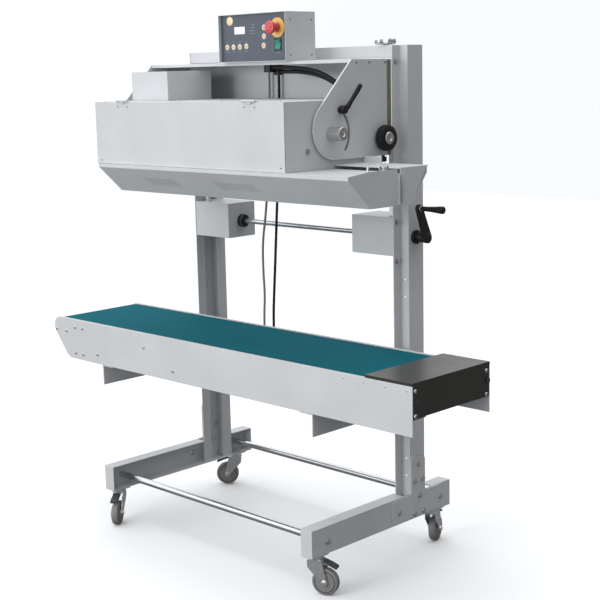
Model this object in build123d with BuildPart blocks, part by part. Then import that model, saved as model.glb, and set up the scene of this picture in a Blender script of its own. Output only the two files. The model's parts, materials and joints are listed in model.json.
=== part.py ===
from build123d import *
import math
import os

os.makedirs("parts", exist_ok=True)

# A floor-standing continuous band sealer. Millimetres, +Z up, the belt runs along X,
# the operator stands at -Y. The origin is on the floor under the middle of the machine.

# ---- driving dimensions: stand ----
FRAME_X = -50.0                 # middle between the two columns
SHEET = 3.0
FOOT_HALF = 448.0               # outer web face of a foot, from FRAME_X
FOOT_DEPTH = 42.0
FOOT_Y = (-280.0, 306.0)
FOOT_Z = (109.0, 186.0)
COL_HALF = 445.0                # outer web face of a column, from FRAME_X
COL_FLANGE = 32.0
COL_Y = (129.0, 192.0)          # front flange and back flange faces
LIP = 29.0                      # how far a guide lip stands out of its flange
COL_TOP = 1443.0
ROD_R = 10.0
ROD_FRONT = (-219.0, 143.0)     # Y, Z
ROD_REAR = (256.0, 147.0)

# ---- driving dimensions: castors ----
WHEEL_R = 37.5
WHEEL_W = 22.0
TRAIL = 28.0
CASTORS = {
    "front_left": (-477.0, -245.0, -54.0),
    "front_right": (377.0, -245.0, 22.0),
    "rear_left": (-477.0, 250.2, -135.0),
    "rear_right": (377.0, 250.2, 111.0),
}
AXLE_R = 4.0
RUN_FIT = 0.05

# ---- driving dimensions: conveyor ----
CONV_X = (-740.0, 736.0)         # side panels and drive cover
CONV_Y = (-271.0, 40.0)
CONV_Z = (504.0, 630.0)
NOSE_R = 31.0
NOSE_X = CONV_X[0] + NOSE_R
ROLL_Z = 594.5
DRIVE_X = 600.0
DRIVE_R = 30.0
NOSE_ROLL_R = 28.0
BELT_T = 2.0
BELT_GAP = 0.3
BELT_Y = (-262.0, 31.0)
BELT_TOP = ROLL_Z + DRIVE_R + BELT_GAP + BELT_T
COVER_X = 584.0
COVER_TOP = 638.0
BRACKET_T = 4.0
BRACKET_Z = 441.0

# ---- driving dimensions: lift ----
SHAFT_Y = 158.0
SHAFT_Z = 921.0
SHAFT_R = 8.0
PINION_R = 20.0
MODULE = 2.5
RACK_X = (380.0, 392.0)         # from FRAME_X
GEARBOX_IN = 260.0
GEARBOX_Y = (101.0, 214.0)
GEARBOX_Z = (870.0, 978.0)
CRANK_REACH = (-34.0, 84.0)     # from the shaft to the grip, in Y and Z
CRANK_X = 431.0

# ---- driving dimensions: head carriage ----
LIP_IN = COL_HALF - COL_FLANGE  # inner face of the guide lips, from FRAME_X
ARM_T = 5.0
ARM_TOP = 1407.0
ARM_BACK = 99.0
ARM_NOSE_R = 78.0
ARM_NOSE = (-128.0, 1228.0)
PIVOT = (-142.0, 1218.0)
PIVOT_R = 18.0
SLOT_R = 70.0
SLOT_W = 9.0
BRIDGE_FRONT = -59.0
BOX_X = (-127.0, 143.0)
BOX_Y = (-81.0, 36.0)
BOX_Z = (1407.0, 1540.0)
PANEL_Y = -71.0
KNOB = (57.0, 1198.0)
KNOB_R = 35.0

# ---- driving dimensions: tilting head ----
HOUSE_X = (-426.0, 353.0)
HOUSE_Y = (-302.0, 40.0)
HOUSE_Z = (1120.0, 1304.0)
SKIN = 2.0
MOTOR_BOX_X = (-404.0, -240.0)
MOTOR_BOX_Y = (-181.0, -14.0)
MOTOR_BOX_TOP = 1387.0
TRAY_X = (-409.0, 576.0)
TRAY_Z = 1043.0
RIM_Z = (1118.0, 1134.0)
FRONT_RIM_TOP = 1127.0
TRAY_FRONT = -312.0
TRAY_FRONT_FOOT = -232.0
TRAY_BACK = -14.0
TRAY_BACK_FOOT = -75.0
BAG_Y = -124.0
SLIT_HALF = 6.0
BAND_Z = (1072.0, 1090.0)
BAND_WHEEL_R = 29.0
BAND_T = 0.8
BAND_X = (-360.0, 300.0)
BAND_OFFSET = 30.5              # wheel axis from the bag plane
HINGE_AXIS = (-305.0, 1307.0)
HINGES_X = (-297.0, 228.0)

made = []


def save(builder, name):
    """Label a finished piece and write its STEP file."""
    builder.part.label = name
    export_step(builder.part, "parts/" + name + ".step")
    made.append(name)


def block(x, y, z, mode=Mode.ADD):
    """A box between two values on each axis, in the active part."""
    with Locations((sum(x) / 2, sum(y) / 2, sum(z) / 2)):
        Box(abs(x[1] - x[0]), abs(y[1] - y[0]), abs(z[1] - z[0]), mode=mode)


def rod_x(y, z, x, radius, mode=Mode.ADD):
    """A round bar along X."""
    with Locations(Location(((x[0] + x[1]) / 2, y, z), (0, 90, 0))):
        Cylinder(radius, abs(x[1] - x[0]), mode=mode)


def rod_y(x, z, y, radius, mode=Mode.ADD):
    """A round bar along Y."""
    with Locations(Location((x, (y[0] + y[1]) / 2, z), (90, 0, 0))):
        Cylinder(radius, abs(y[1] - y[0]), mode=mode)


def rod_z(x, y, z, radius, mode=Mode.ADD):
    """A round bar along Z."""
    with Locations((x, y, (z[0] + z[1]) / 2)):
        Cylinder(radius, abs(z[1] - z[0]), mode=mode)


def plate_yz(x, points, corner=0.0):
    """A flat plate in YZ between two X values, with its outline's corners rounded."""
    with BuildSketch(Plane.YZ.offset(min(x))) as outline:
        with BuildLine():
            Polyline(*points, close=True)
        make_face()
        if corner:
            fillet(outline.vertices(), corner)
    extrude(outline.sketch, amount=abs(x[1] - x[0]))


def bent_strip(points, thickness, x):
    """Sheet folded along a line of YZ points and run along X."""
    with BuildSketch(Plane.YZ.offset(x[0])) as strip:
        with BuildLine() as fold:
            Polyline(*points)
        trace(fold.line, line_width=thickness)
    extrude(strip.sketch, amount=x[1] - x[0])


def side_x(side, value):
    """X of a point that lies value outwards from the frame's middle."""
    return FRAME_X + side * value


def side_span(side, low, high):
    """The X span between two distances from the frame's middle."""
    return (side_x(side, low), side_x(side, high))


SIDES = {"left": -1, "right": 1}

# ---- feet: folded channels, open inwards, with closed ends ----
for word, side in SIDES.items():
    outer = FOOT_HALF
    inner = FOOT_HALF - FOOT_DEPTH
    with BuildPart() as foot:
        block(side_span(side, outer - SHEET, outer), FOOT_Y, FOOT_Z)
        block(side_span(side, inner, outer), FOOT_Y, (FOOT_Z[1] - SHEET, FOOT_Z[1]))
        block(side_span(side, inner, outer), FOOT_Y, (FOOT_Z[0], FOOT_Z[0] + SHEET))
        block(side_span(side, inner, outer), (FOOT_Y[0], FOOT_Y[0] + SHEET), FOOT_Z)
        block(side_span(side, inner, outer), (FOOT_Y[1] - SHEET, FOOT_Y[1]), FOOT_Z)
        column_y = (COL_Y[0] - LIP - 1, COL_Y[1] + LIP + 1)
        notch_z = (FOOT_Z[1] - SHEET - 1, FOOT_Z[1] + 1)
        block(side_span(side, inner - 1, COL_HALF), column_y, notch_z, Mode.SUBTRACT)
    save(foot, "foot_" + word)

# ---- columns: a web, two flanges and two guide lips, open inwards ----
COLUMN_HOLES_Z = (237.0, 287.0, 755.0, 803.0)
for word, side in SIDES.items():
    with BuildPart() as column:
        column_z = (FOOT_Z[0] + SHEET, COL_TOP)
        block(side_span(side, COL_HALF - SHEET, COL_HALF), COL_Y, column_z)
        block(side_span(side, LIP_IN, COL_HALF), (COL_Y[0], COL_Y[0] + SHEET), column_z)
        block(side_span(side, LIP_IN, COL_HALF), (COL_Y[1] - SHEET, COL_Y[1]), column_z)
        lip_x = side_span(side, LIP_IN, LIP_IN + SHEET)
        block(lip_x, (COL_Y[0] - LIP, COL_Y[0] + SHEET), column_z)
        block(lip_x, (COL_Y[1] - SHEET, COL_Y[1] + LIP), column_z)
        for hole_z in COLUMN_HOLES_Z:
            hole_x = side_x(side, (LIP_IN + COL_HALF) / 2)
            rod_y(hole_x, hole_z, (COL_Y[0] - 1, COL_Y[0] + SHEET + 1), 3.5, Mode.SUBTRACT)
        if side > 0:
            web = side_span(side, COL_HALF - SHEET - 1, COL_HALF + 1)
            rod_x(SHAFT_Y, SHAFT_Z, web, SHAFT_R + 5, Mode.SUBTRACT)
    save(column, "column_" + word)

# ---- gusset plates joining each column to its foot, with a packer behind ----
GUSSET = [
    (42, 114), (42, 178), (126, 184), (126, 300), (188, 284), (188, 184), (269, 184), (269, 114),
]
with BuildPart() as gussets:
    for side in SIDES.values():
        plate_yz(side_span(side, FOOT_HALF, FOOT_HALF + SHEET), GUSSET, 8.0)
        block(side_span(side, COL_HALF, FOOT_HALF), (131, 184), (FOOT_Z[1] + 2, 282))
save(gussets, "gusset_plates")

# ---- tie rods between the feet ----
with BuildPart() as tie_rods:
    for rod in (ROD_FRONT, ROD_REAR):
        span = (side_x(-1, FOOT_HALF - SHEET), side_x(1, FOOT_HALF - SHEET))
        rod_x(rod[0], rod[1], span, ROD_R)
save(tie_rods, "tie_rods")

# ---- top beam: a tube between the guide lips ----
BEAM_Y = (101.0, 136.0)
BEAM_Z = (1410.0, COL_TOP)
STAR = (329.0, 115.0)
STAR_R = 24.0
STUD_R = 4.0
with BuildPart() as beam:
    span = (side_x(-1, LIP_IN), side_x(1, LIP_IN))
    block(span, (BEAM_Y[0], COL_Y[0] - 1), BEAM_Z)
    block(span, (BEAM_Y[0] + SHEET, COL_Y[0] - 1 - SHEET), (BEAM_Z[0] + SHEET, BEAM_Z[1] - SHEET),
          Mode.SUBTRACT)
    rod_z(*STAR, (COL_TOP - SHEET - 1, COL_TOP + 1), STUD_R + RUN_FIT, Mode.SUBTRACT)
save(beam, "top_beam")

# ---- hexagon bolts of the frame and button screws of the conveyor panels ----
BUTTON_R = 3.2
PANEL_SCREWS = [
    (-726, 589), (-676, 589), (-630, 605), (-591, 605), (-630, 523), (-591, 523), (-518, 533),
    (-289, 586), (-158, 534), (511, 618), (580, 617), (651, 617), (720, 617),
]
GUSSET_BOLTS = [(158, 268), (143, 221), (178, 221), (164, 174), (74, 144), (142, 124), (181, 124)]
FRAME_BOLT_R = 6.0
HEAD_H = 5.0
COVER_SCREWS = [(-260, 617), (24, 617), (-260, 555), (24, 555)]
COVER_KNOBS = [(-255, 587), (30, 590)]
COVER_SCREW_H = 4.0
with BuildPart() as frame_bolts:
    for side in SIDES.values():
        heads = [(y, z, FOOT_HALF + SHEET) for y, z in GUSSET_BOLTS]
        heads.append((ROD_REAR[0], ROD_REAR[1], FOOT_HALF + SHEET))
        heads.append((ROD_FRONT[0], ROD_FRONT[1], FOOT_HALF))
        for y, z, face in heads:
            start = side_x(side, face)
            with BuildSketch(Plane.YZ.offset(min(start, start + side * HEAD_H))):
                with Locations((y, z)):
                    RegularPolygon(FRAME_BOLT_R, 6)
            extrude(amount=HEAD_H)
    for x, z in PANEL_SCREWS:
        rod_y(x, z, (CONV_Y[0] - 1.6, CONV_Y[0]), BUTTON_R)
        rod_y(x, z, (CONV_Y[1], CONV_Y[1] + 1.6), BUTTON_R)
    for y, z in COVER_SCREWS:
        rod_x(y, z, (CONV_X[1], CONV_X[1] + COVER_SCREW_H), 4.4)
    for y, z in COVER_KNOBS:
        rod_x(y, z, (CONV_X[1], CONV_X[1] + COVER_SCREW_H), 7.0)
save(frame_bolts, "frame_bolts")

# ---- castors ----
PLATE_T = 3.0
FORK_TOP = 98.0
FORK_HALF = 14.5
with BuildPart() as castor_plates:
    for x, y, _ in CASTORS.values():
        block((x - 20, x + 20), (y - 30, y + 30), (FOOT_Z[0] - PLATE_T, FOOT_Z[0]))
        rod_z(x, y, (FORK_TOP + 3.3, FOOT_Z[0] - PLATE_T), 17.0)
        rod_z(x, y, (FORK_TOP - 6, FORK_TOP + 4), 5.0)
        rod_z(x, y, (FORK_TOP - 10, FORK_TOP - 3.2), 9.0)
save(castor_plates, "castor_plates")

for word, (x, y, yaw) in CASTORS.items():
    along = (math.cos(math.radians(yaw)), math.sin(math.radians(yaw)), 0)
    across = (-along[1], along[0], 0)
    axle = (x + TRAIL * along[0], y + TRAIL * along[1], WHEEL_R)
    upright = Plane(origin=(x, y, 0), x_dir=along, z_dir=(along[1], -along[0], 0))
    with BuildPart() as fork:
        rod_z(x, y, (FORK_TOP - 2.9, FORK_TOP + 3.0), 21.0)
        for cheek in (-1, 1):
            inside = FORK_HALF if cheek > 0 else -FORK_HALF - 2.5
            with BuildSketch(upright.offset(inside)):
                with BuildLine():
                    Polyline((-19, FORK_TOP), (21, FORK_TOP), (38, WHEEL_R), (18, WHEEL_R),
                             (-19, FORK_TOP - 20), close=True)
                make_face()
                with Locations((TRAIL, WHEEL_R)):
                    Circle(10.0)
            extrude(amount=2.5)
        with BuildSketch(upright.offset(-FORK_HALF - 2.5)):
            with Locations((0, FORK_TOP - 1.4)):
                Rectangle(38, 3.0)
        extrude(amount=2 * FORK_HALF + 5.0)
        rod_z(x, y, (FORK_TOP - 4, FORK_TOP + 4), 5.0 + RUN_FIT, Mode.SUBTRACT)
        with BuildSketch(upright.offset(-FORK_HALF - 7.0)):
            with Locations((TRAIL, WHEEL_R)):
                Circle(AXLE_R)
        extrude(amount=2 * FORK_HALF + 14.0)
        with BuildSketch(upright.offset(-11.0)):
            with BuildLine():
                Polyline((20, FORK_TOP - 1), (46, FORK_TOP - 8), (62, FORK_TOP - 16), (62, FORK_TOP - 21),
                         (44, FORK_TOP - 14), (20, FORK_TOP - 6), close=True)
            make_face()
        extrude(amount=22.0)
    save(fork, "castor_fork_" + word)

    wheel_plane = Plane(origin=axle, x_dir=along, z_dir=across)
    with BuildPart() as wheel:
        with BuildSketch(wheel_plane.offset(-WHEEL_W / 2)):
            Circle(WHEEL_R)
            Circle(AXLE_R + RUN_FIT, mode=Mode.SUBTRACT)
        extrude(amount=WHEEL_W)
        rims = wheel.edges().filter_by(GeomType.CIRCLE).group_by(lambda edge: edge.radius)[-1]
        chamfer(rims, 3.0)
        with BuildSketch(wheel_plane.offset(-FORK_HALF + 0.6)):
            Circle(9.0)
            Circle(AXLE_R + RUN_FIT, mode=Mode.SUBTRACT)
        extrude(amount=2 * FORK_HALF - 1.2)
    save(wheel, "castor_wheel_" + word)

# ---- conveyor brackets: angles bolted to the columns' webs ----
with BuildPart() as brackets:
    for side in SIDES.values():
        reach = (CONV_Y[0] + SHEET, COL_Y[1])
        block(side_span(side, COL_HALF, COL_HALF + BRACKET_T), reach, (BRACKET_Z, CONV_Z[0]))
        shelf = (CONV_Y[0] + SHEET, COL_Y[0] - LIP - 4)
        shelf_z = (CONV_Z[0] - BRACKET_T, CONV_Z[0])
        block(side_span(side, COL_HALF - 45, COL_HALF + BRACKET_T), shelf, shelf_z)
save(brackets, "conveyor_brackets")


# ---- conveyor side panels ----
def side_panel(y):
    """One long side plate with its rounded, cut-back nose."""
    nose_z = CONV_Z[1] - NOSE_R
    with BuildSketch(Plane.XZ.offset(-y[1])) as side_plate:
        with BuildLine():
            low = math.radians(200)
            end = (NOSE_X + NOSE_R * math.cos(low), nose_z + NOSE_R * math.sin(low))
            Line((CONV_X[1], CONV_Z[0]), (CONV_X[1], CONV_Z[1]))
            Line((CONV_X[1], CONV_Z[1]), (NOSE_X, CONV_Z[1]))
            CenterArc((NOSE_X, nose_z), NOSE_R, 90, 110)
            Polyline(end, (-678, 514), (-660, CONV_Z[0]), (CONV_X[1], CONV_Z[0]))
        make_face()
    extrude(side_plate.sketch, amount=y[1] - y[0])


FLANGE_W = 8.6
FLANGE_Z = (CONV_Z[1] - SKIN, CONV_Z[1])
with BuildPart() as panel_front:
    side_panel((CONV_Y[0], CONV_Y[0] + SHEET))
    block((NOSE_X, COVER_X), (CONV_Y[0], CONV_Y[0] + FLANGE_W), FLANGE_Z)
save(panel_front, "conveyor_panel_front")
with BuildPart() as panel_back:
    side_panel((CONV_Y[1] - SHEET, CONV_Y[1]))
    block((NOSE_X, COVER_X), (CONV_Y[1] - FLANGE_W, CONV_Y[1]), FLANGE_Z)
save(panel_back, "conveyor_panel_back")

# ---- slider bed under the belt ----
INSIDE_Y = (CONV_Y[0] + SHEET, CONV_Y[1] - SHEET)
BED_X = (-672.0, 560.0)
BED_TOP = BELT_TOP - BELT_T - 0.3
with BuildPart() as bed:
    block(BED_X, (BELT_Y[0], BELT_Y[1]), (BED_TOP - SKIN, BED_TOP))
    for y in INSIDE_Y:
        wall = (y, y + SKIN) if y == INSIDE_Y[0] else (y - SKIN, y)
        shelf = (y, BELT_Y[0] + 4) if y == INSIDE_Y[0] else (BELT_Y[1] - 4, y)
        block(BED_X, wall, (BED_TOP - 24, BED_TOP - SKIN))
        block(BED_X, shelf, (BED_TOP - 2 * SKIN, BED_TOP - SKIN))
    for x in (-520, -240, 40, 320):
        block((x, x + 30), INSIDE_Y, (BED_TOP - 24, BED_TOP - 22))
        block((x, x + SKIN), (BELT_Y[0], BELT_Y[1]), (BED_TOP - 22, BED_TOP - SKIN))
save(bed, "slider_bed")


def loop(plane, ends, radii, height, mode=Mode.ADD):
    """A solid bounded by a belt line round two wheels."""
    with BuildSketch(plane) as outline:
        for centre, radius in zip(ends, radii):
            with Locations(centre):
                Circle(radius)
        make_hull()
    extrude(outline.sketch, amount=height, mode=mode)


# ---- belt ----
BELT_ENDS = [(NOSE_X, ROLL_Z + DRIVE_R - NOSE_ROLL_R), (DRIVE_X, ROLL_Z)]
INNER_RADII = [NOSE_ROLL_R + BELT_GAP, DRIVE_R + BELT_GAP]
OUTER_RADII = [radius + BELT_T for radius in INNER_RADII]
with BuildPart() as belt:
    width = BELT_Y[1] - BELT_Y[0]
    loop(Plane.XZ.offset(-BELT_Y[1]), BELT_ENDS, OUTER_RADII, width)
    loop(Plane.XZ.offset(-BELT_Y[1] - 1), BELT_ENDS, INNER_RADII, width + 2, Mode.SUBTRACT)
save(belt, "conveyor_belt")

# ---- rollers: the drive roller and the nose roller, each with its axle ends ----
for word, centre, radius in (("nose", BELT_ENDS[0], NOSE_ROLL_R), ("drive", BELT_ENDS[1], DRIVE_R)):
    with BuildPart() as roller:
        rod_y(centre[0], centre[1], (BELT_Y[0] + 1, BELT_Y[1] - 1), radius)
        rod_y(centre[0], centre[1], (INSIDE_Y[0] + 0.4, INSIDE_Y[1] - 0.4), 8.0)
    save(roller, word + "_roller")

# ---- conveyor motor ----
MOTOR_X = 688.0
MOTOR_Z = 592.0
with BuildPart() as conveyor_motor:
    rod_y(MOTOR_X, MOTOR_Z, (-215, -60), 40.0)
    rod_y(MOTOR_X, MOTOR_Z, (-60, -20), 36.0)
    rod_y(MOTOR_X, MOTOR_Z, (-20, 10), 7.0)
    block((MOTOR_X - 40, MOTOR_X + 44), (INSIDE_Y[0], -215), (544, 550))
    block((MOTOR_X - 40, MOTOR_X + 44), (-219, -215), (544, 628))
save(conveyor_motor, "conveyor_motor")

# ---- stainless cover over the drive end ----
with BuildPart() as drive_cover:
    block((COVER_X, CONV_X[1]), CONV_Y, (COVER_TOP - SKIN, COVER_TOP))
    block((COVER_X, CONV_X[1]), (CONV_Y[0], CONV_Y[0] + SKIN), (CONV_Z[1], COVER_TOP))
    block((COVER_X, CONV_X[1]), (CONV_Y[1] - SKIN, CONV_Y[1]), (CONV_Z[1], COVER_TOP))
    block((CONV_X[1] - SKIN, CONV_X[1]), CONV_Y, (CONV_Z[1], COVER_TOP))
    block((CONV_X[1] - SKIN, CONV_X[1]), INSIDE_Y, (548, COVER_TOP))
save(drive_cover, "drive_end_cover")

# ---- gear boxes on the columns ----
RACK_Y = SHAFT_Y - PINION_R     # the racks' pitch line
with BuildPart() as gear_boxes:
    for side in SIDES.values():
        outer_x = side_span(side, GEARBOX_IN, LIP_IN)
        inner_x = side_span(side, GEARBOX_IN + SHEET, LIP_IN - SHEET)
        inner_y = (GEARBOX_Y[0] + SHEET, GEARBOX_Y[1] - SHEET)
        inner_z = (GEARBOX_Z[0] + SHEET, GEARBOX_Z[1] - SHEET)
        block(outer_x, GEARBOX_Y, GEARBOX_Z)
        block(inner_x, inner_y, inner_z, Mode.SUBTRACT)
        window_x = side_span(side, RACK_X[0] - 4, RACK_X[1] + 4)
        tall = (GEARBOX_Z[0] - 1, GEARBOX_Z[1] + 1)
        block(window_x, (RACK_Y - 20, RACK_Y + 7), tall, Mode.SUBTRACT)
        bore = side_span(side, GEARBOX_IN - 1, LIP_IN + 1)
        rod_x(SHAFT_Y, SHAFT_Z, bore, SHAFT_R + 2, Mode.SUBTRACT)
        seat = side_span(side, GEARBOX_IN - 14, GEARBOX_IN)
        rod_x(SHAFT_Y, SHAFT_Z, seat, 20.0)
        rod_x(SHAFT_Y, SHAFT_Z, side_span(side, GEARBOX_IN - 15, GEARBOX_IN + 1), SHAFT_R + RUN_FIT,
              Mode.SUBTRACT)
    seat = side_span(1, COL_HALF, COL_HALF + 8)
    rod_x(SHAFT_Y, SHAFT_Z, seat, 19.0)
    rod_x(SHAFT_Y, SHAFT_Z, (seat[0] - 1, seat[1] + 1), SHAFT_R + RUN_FIT, Mode.SUBTRACT)
save(gear_boxes, "gear_boxes")

# ---- lift shaft with its two pinions ----
PINION_TEETH = round(2 * PINION_R / MODULE)
TOOTH_ROOT = 0.46 * math.pi * MODULE / 2
TOOTH_TIP = 0.20 * math.pi * MODULE / 2
with BuildPart() as lift_shaft:
    rod_x(SHAFT_Y, SHAFT_Z, (side_x(-1, GEARBOX_IN + 148), CRANK_X + 8), SHAFT_R)
    for side in SIDES.values():
        span = side_span(side, RACK_X[0] + 1, RACK_X[1] - 1)
        with BuildSketch(Plane.YZ.offset(min(span))):
            with Locations((SHAFT_Y, SHAFT_Z)):
                Circle(PINION_R - 1.1 * MODULE)
            base = PINION_R - 1.4 * MODULE
            tip = PINION_R + 0.6 * MODULE
            with Locations((SHAFT_Y, SHAFT_Z)):
                with PolarLocations((base + tip) / 2, PINION_TEETH):
                    Trapezoid(2 * TOOTH_ROOT, tip - base, 75, rotation=-90)
        extrude(amount=abs(span[1] - span[0]))
save(lift_shaft, "lift_shaft")

# ---- crank arm and its turning grip ----
CRANK_END = (SHAFT_Y + CRANK_REACH[0], SHAFT_Z + CRANK_REACH[1])
with BuildPart() as crank_arm:
    with BuildSketch(Plane.YZ.offset(CRANK_X)):
        for centre, radius in (((SHAFT_Y, SHAFT_Z), 14.0), (CRANK_END, 10.0)):
            with Locations(centre):
                Circle(radius)
        make_hull()
    extrude(amount=11.0)
    rod_x(SHAFT_Y, SHAFT_Z, (CRANK_X - 22, CRANK_X + 11), 14.0)
    rod_x(SHAFT_Y, SHAFT_Z, (CRANK_X - 23, CRANK_X + 8), SHAFT_R + RUN_FIT, Mode.SUBTRACT)
    rod_x(CRANK_END[0], CRANK_END[1], (CRANK_X + 11, CRANK_X + 88), 4.0)
    rod_x(CRANK_END[0], CRANK_END[1], (CRANK_X + 11, CRANK_X + 16), 8.0)
save(crank_arm, "crank_arm")

GRIP_X = CRANK_X + 16.4
with BuildPart() as crank_grip:
    with BuildSketch(Plane.XZ):
        with BuildLine():
            Polyline((0, 4 + RUN_FIT), (0, 7), (12, 6.5), (60, 10), (68, 10.5), (74, 8), (75, 4 + RUN_FIT),
                     close=True)
        make_face()
    revolve(axis=Axis.X)
crank_grip.part = crank_grip.part.moved(Location((GRIP_X, CRANK_END[0], CRANK_END[1])))
save(crank_grip, "crank_grip")


# ---- arms of the head carriage ----
def tangent_point(centre, radius, point):
    """Where a line from a point touches a circle, on the circle's upper front side."""
    dy = point[0] - centre[0]
    dz = point[1] - centre[1]
    reach = math.hypot(dy, dz)
    turn = math.atan2(dz, dy) + math.acos(radius / reach)
    return (centre[0] + radius * math.cos(turn), centre[1] + radius * math.sin(turn))


ARM_FRONT_TOP = (BRIDGE_FRONT, ARM_TOP)
ARM_TOUCH = tangent_point(ARM_NOSE, ARM_NOSE_R, ARM_FRONT_TOP)
ARM_BOTTOM = ARM_NOSE[1] - ARM_NOSE_R
SLOT_ANGLES = (-38.0, 60.0)
for word, side in SIDES.items():
    with BuildPart() as arm:
        span = side_span(side, LIP_IN - ARM_T, LIP_IN)
        with BuildSketch(Plane.YZ.offset(min(span))):
            with BuildLine():
                touch_angle = math.degrees(math.atan2(ARM_TOUCH[1] - ARM_NOSE[1], ARM_TOUCH[0] - ARM_NOSE[0]))
                CenterArc(ARM_NOSE, ARM_NOSE_R, touch_angle, 270 - touch_angle)
                Polyline((ARM_NOSE[0], ARM_BOTTOM), (ARM_BACK, ARM_BOTTOM), (ARM_BACK, ARM_TOP),
                         ARM_FRONT_TOP, ARM_TOUCH)
            make_face()
            with Locations(PIVOT):
                Circle(PIVOT_R + RUN_FIT, mode=Mode.SUBTRACT)
            slot_line = Edge.make_circle(SLOT_R, start_angle=SLOT_ANGLES[0], end_angle=SLOT_ANGLES[1])
            if side > 0:
                SlotArc(slot_line.moved(Location(PIVOT)), SLOT_W, mode=Mode.SUBTRACT)
        extrude(amount=ARM_T)
        if side > 0:
            rod_x(KNOB[0], KNOB[1], (span[0] - 1, span[1] + 1), 6.0 + RUN_FIT, Mode.SUBTRACT)
    save(arm, "arm_" + word)

# ---- bridge across the arms: top plate with a front lip, and the back sheet ----
BETWEEN_ARMS = (side_x(-1, LIP_IN - ARM_T), side_x(1, LIP_IN - ARM_T))
with BuildPart() as bridge:
    block(BETWEEN_ARMS, (BRIDGE_FRONT, ARM_BACK), (ARM_TOP - SHEET, ARM_TOP))
    block(BETWEEN_ARMS, (BRIDGE_FRONT, BRIDGE_FRONT + SHEET), (ARM_TOP - 9, ARM_TOP))
    block(BETWEEN_ARMS, (ARM_BACK - 9, ARM_BACK - 7), (ARM_BOTTOM + 6, ARM_TOP - SHEET))
save(bridge, "carriage_bridge")

# ---- racks, each with the carrier that ties it to its arm ----
RACK_Z = (890.0, 1200.0)
CARRIER_Z = (1160.0, 1200.0)
PITCH = math.pi * MODULE
RACK_TIP = RACK_Y + 0.6 * MODULE
RACK_ROOT = RACK_Y - 1.0 * MODULE
with BuildPart() as racks:
    for side in SIDES.values():
        span = side_span(side, RACK_X[0], RACK_X[1])
        block(span, (RACK_ROOT - 11, RACK_ROOT), RACK_Z)
        low = math.ceil((RACK_Z[0] - SHAFT_Z) / PITCH + 0.5)
        high = math.floor((CARRIER_Z[0] - SHAFT_Z) / PITCH - 0.5)
        with BuildSketch(Plane.YZ.offset(min(span))):
            for index in range(low, high):
                tooth_z = SHAFT_Z + (index + 0.5) * PITCH
                with Locations(((RACK_ROOT + RACK_TIP) / 2 - 0.1, tooth_z)):
                    Trapezoid(2 * TOOTH_ROOT, RACK_TIP - RACK_ROOT + 0.2, 75, rotation=-90)
        extrude(amount=RACK_X[1] - RACK_X[0])
        block(side_span(side, RACK_X[0], LIP_IN - ARM_T), (ARM_BACK - 7, RACK_ROOT - 2), CARRIER_Z)
save(racks, "lift_racks")

# ---- control box ----
with BuildPart() as control_box:
    block(BOX_X, BOX_Y, BOX_Z)
    inner = ((BOX_X[0] + SKIN, BOX_X[1] - SKIN), (BOX_Y[0] - 1, BOX_Y[1] - SKIN),
             (BOX_Z[0] + SKIN, BOX_Z[1] - SKIN))
    block(*inner, Mode.SUBTRACT)
save(control_box, "control_box")

ESTOP = (105.0, 1498.0)
ESTOP_RING_R = 27.0
ESTOP_HEAD_R = 17.5
SWITCH = (104.0, 1452.0)
ROCKER_R = 15.0
ROCKER_DEPTH = 10.0
ROCKER_SLOT = 13.0
with BuildPart() as control_panel:
    block((BOX_X[0] + SKIN, BOX_X[1] - SKIN), (PANEL_Y, PANEL_Y + SKIN), (BOX_Z[0] + SKIN, BOX_Z[1] - SKIN))
    rod_y(ESTOP[0], ESTOP[1], (PANEL_Y - 4, PANEL_Y), ESTOP_RING_R)
    rod_y(ESTOP[0], ESTOP[1], (PANEL_Y - 5, PANEL_Y + 3), 11.0 + RUN_FIT, Mode.SUBTRACT)
    block((SWITCH[0] - 11.3, SWITCH[0] + 11.3), (PANEL_Y - 1, PANEL_Y + 3),
          (SWITCH[1] - ROCKER_SLOT, SWITCH[1] + ROCKER_SLOT), Mode.SUBTRACT)
save(control_panel, "control_panel")

KEYS = [(-101, 1450), (-75, 1450), (-49, 1450), (-22, 1451), (51, 1500), (50, 1476), (48, 1451)]
KEY_R = 6.5
with BuildPart() as keypad:
    for x, z in KEYS:
        rod_y(x, z, (PANEL_Y - 1.2, PANEL_Y), KEY_R)
    block((-70, -28), (PANEL_Y - 1.0, PANEL_Y), (1485, 1505))
save(keypad, "keypad_and_display")

with BuildPart() as estop:
    rod_y(ESTOP[0], ESTOP[1], (PANEL_Y - 24, PANEL_Y + 20), 11.0)
    rod_y(ESTOP[0], ESTOP[1], (PANEL_Y - 36, PANEL_Y - 20), ESTOP_HEAD_R)
    rim = estop.edges().filter_by(GeomType.CIRCLE).sort_by(Axis.Y)[0]
    fillet(rim, 5.0)
save(estop, "emergency_stop_button")

with BuildPart() as switch:
    rod_x(PANEL_Y + ROCKER_DEPTH, SWITCH[1], (SWITCH[0] - 11, SWITCH[0] + 11), ROCKER_R)
    block((SWITCH[0] - 4, SWITCH[0] + 4), (PANEL_Y + ROCKER_DEPTH + 10, PANEL_Y + ROCKER_DEPTH + 18),
          (SWITCH[1] - 2, SWITCH[1] + 2))
save(switch, "power_switch")

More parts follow.
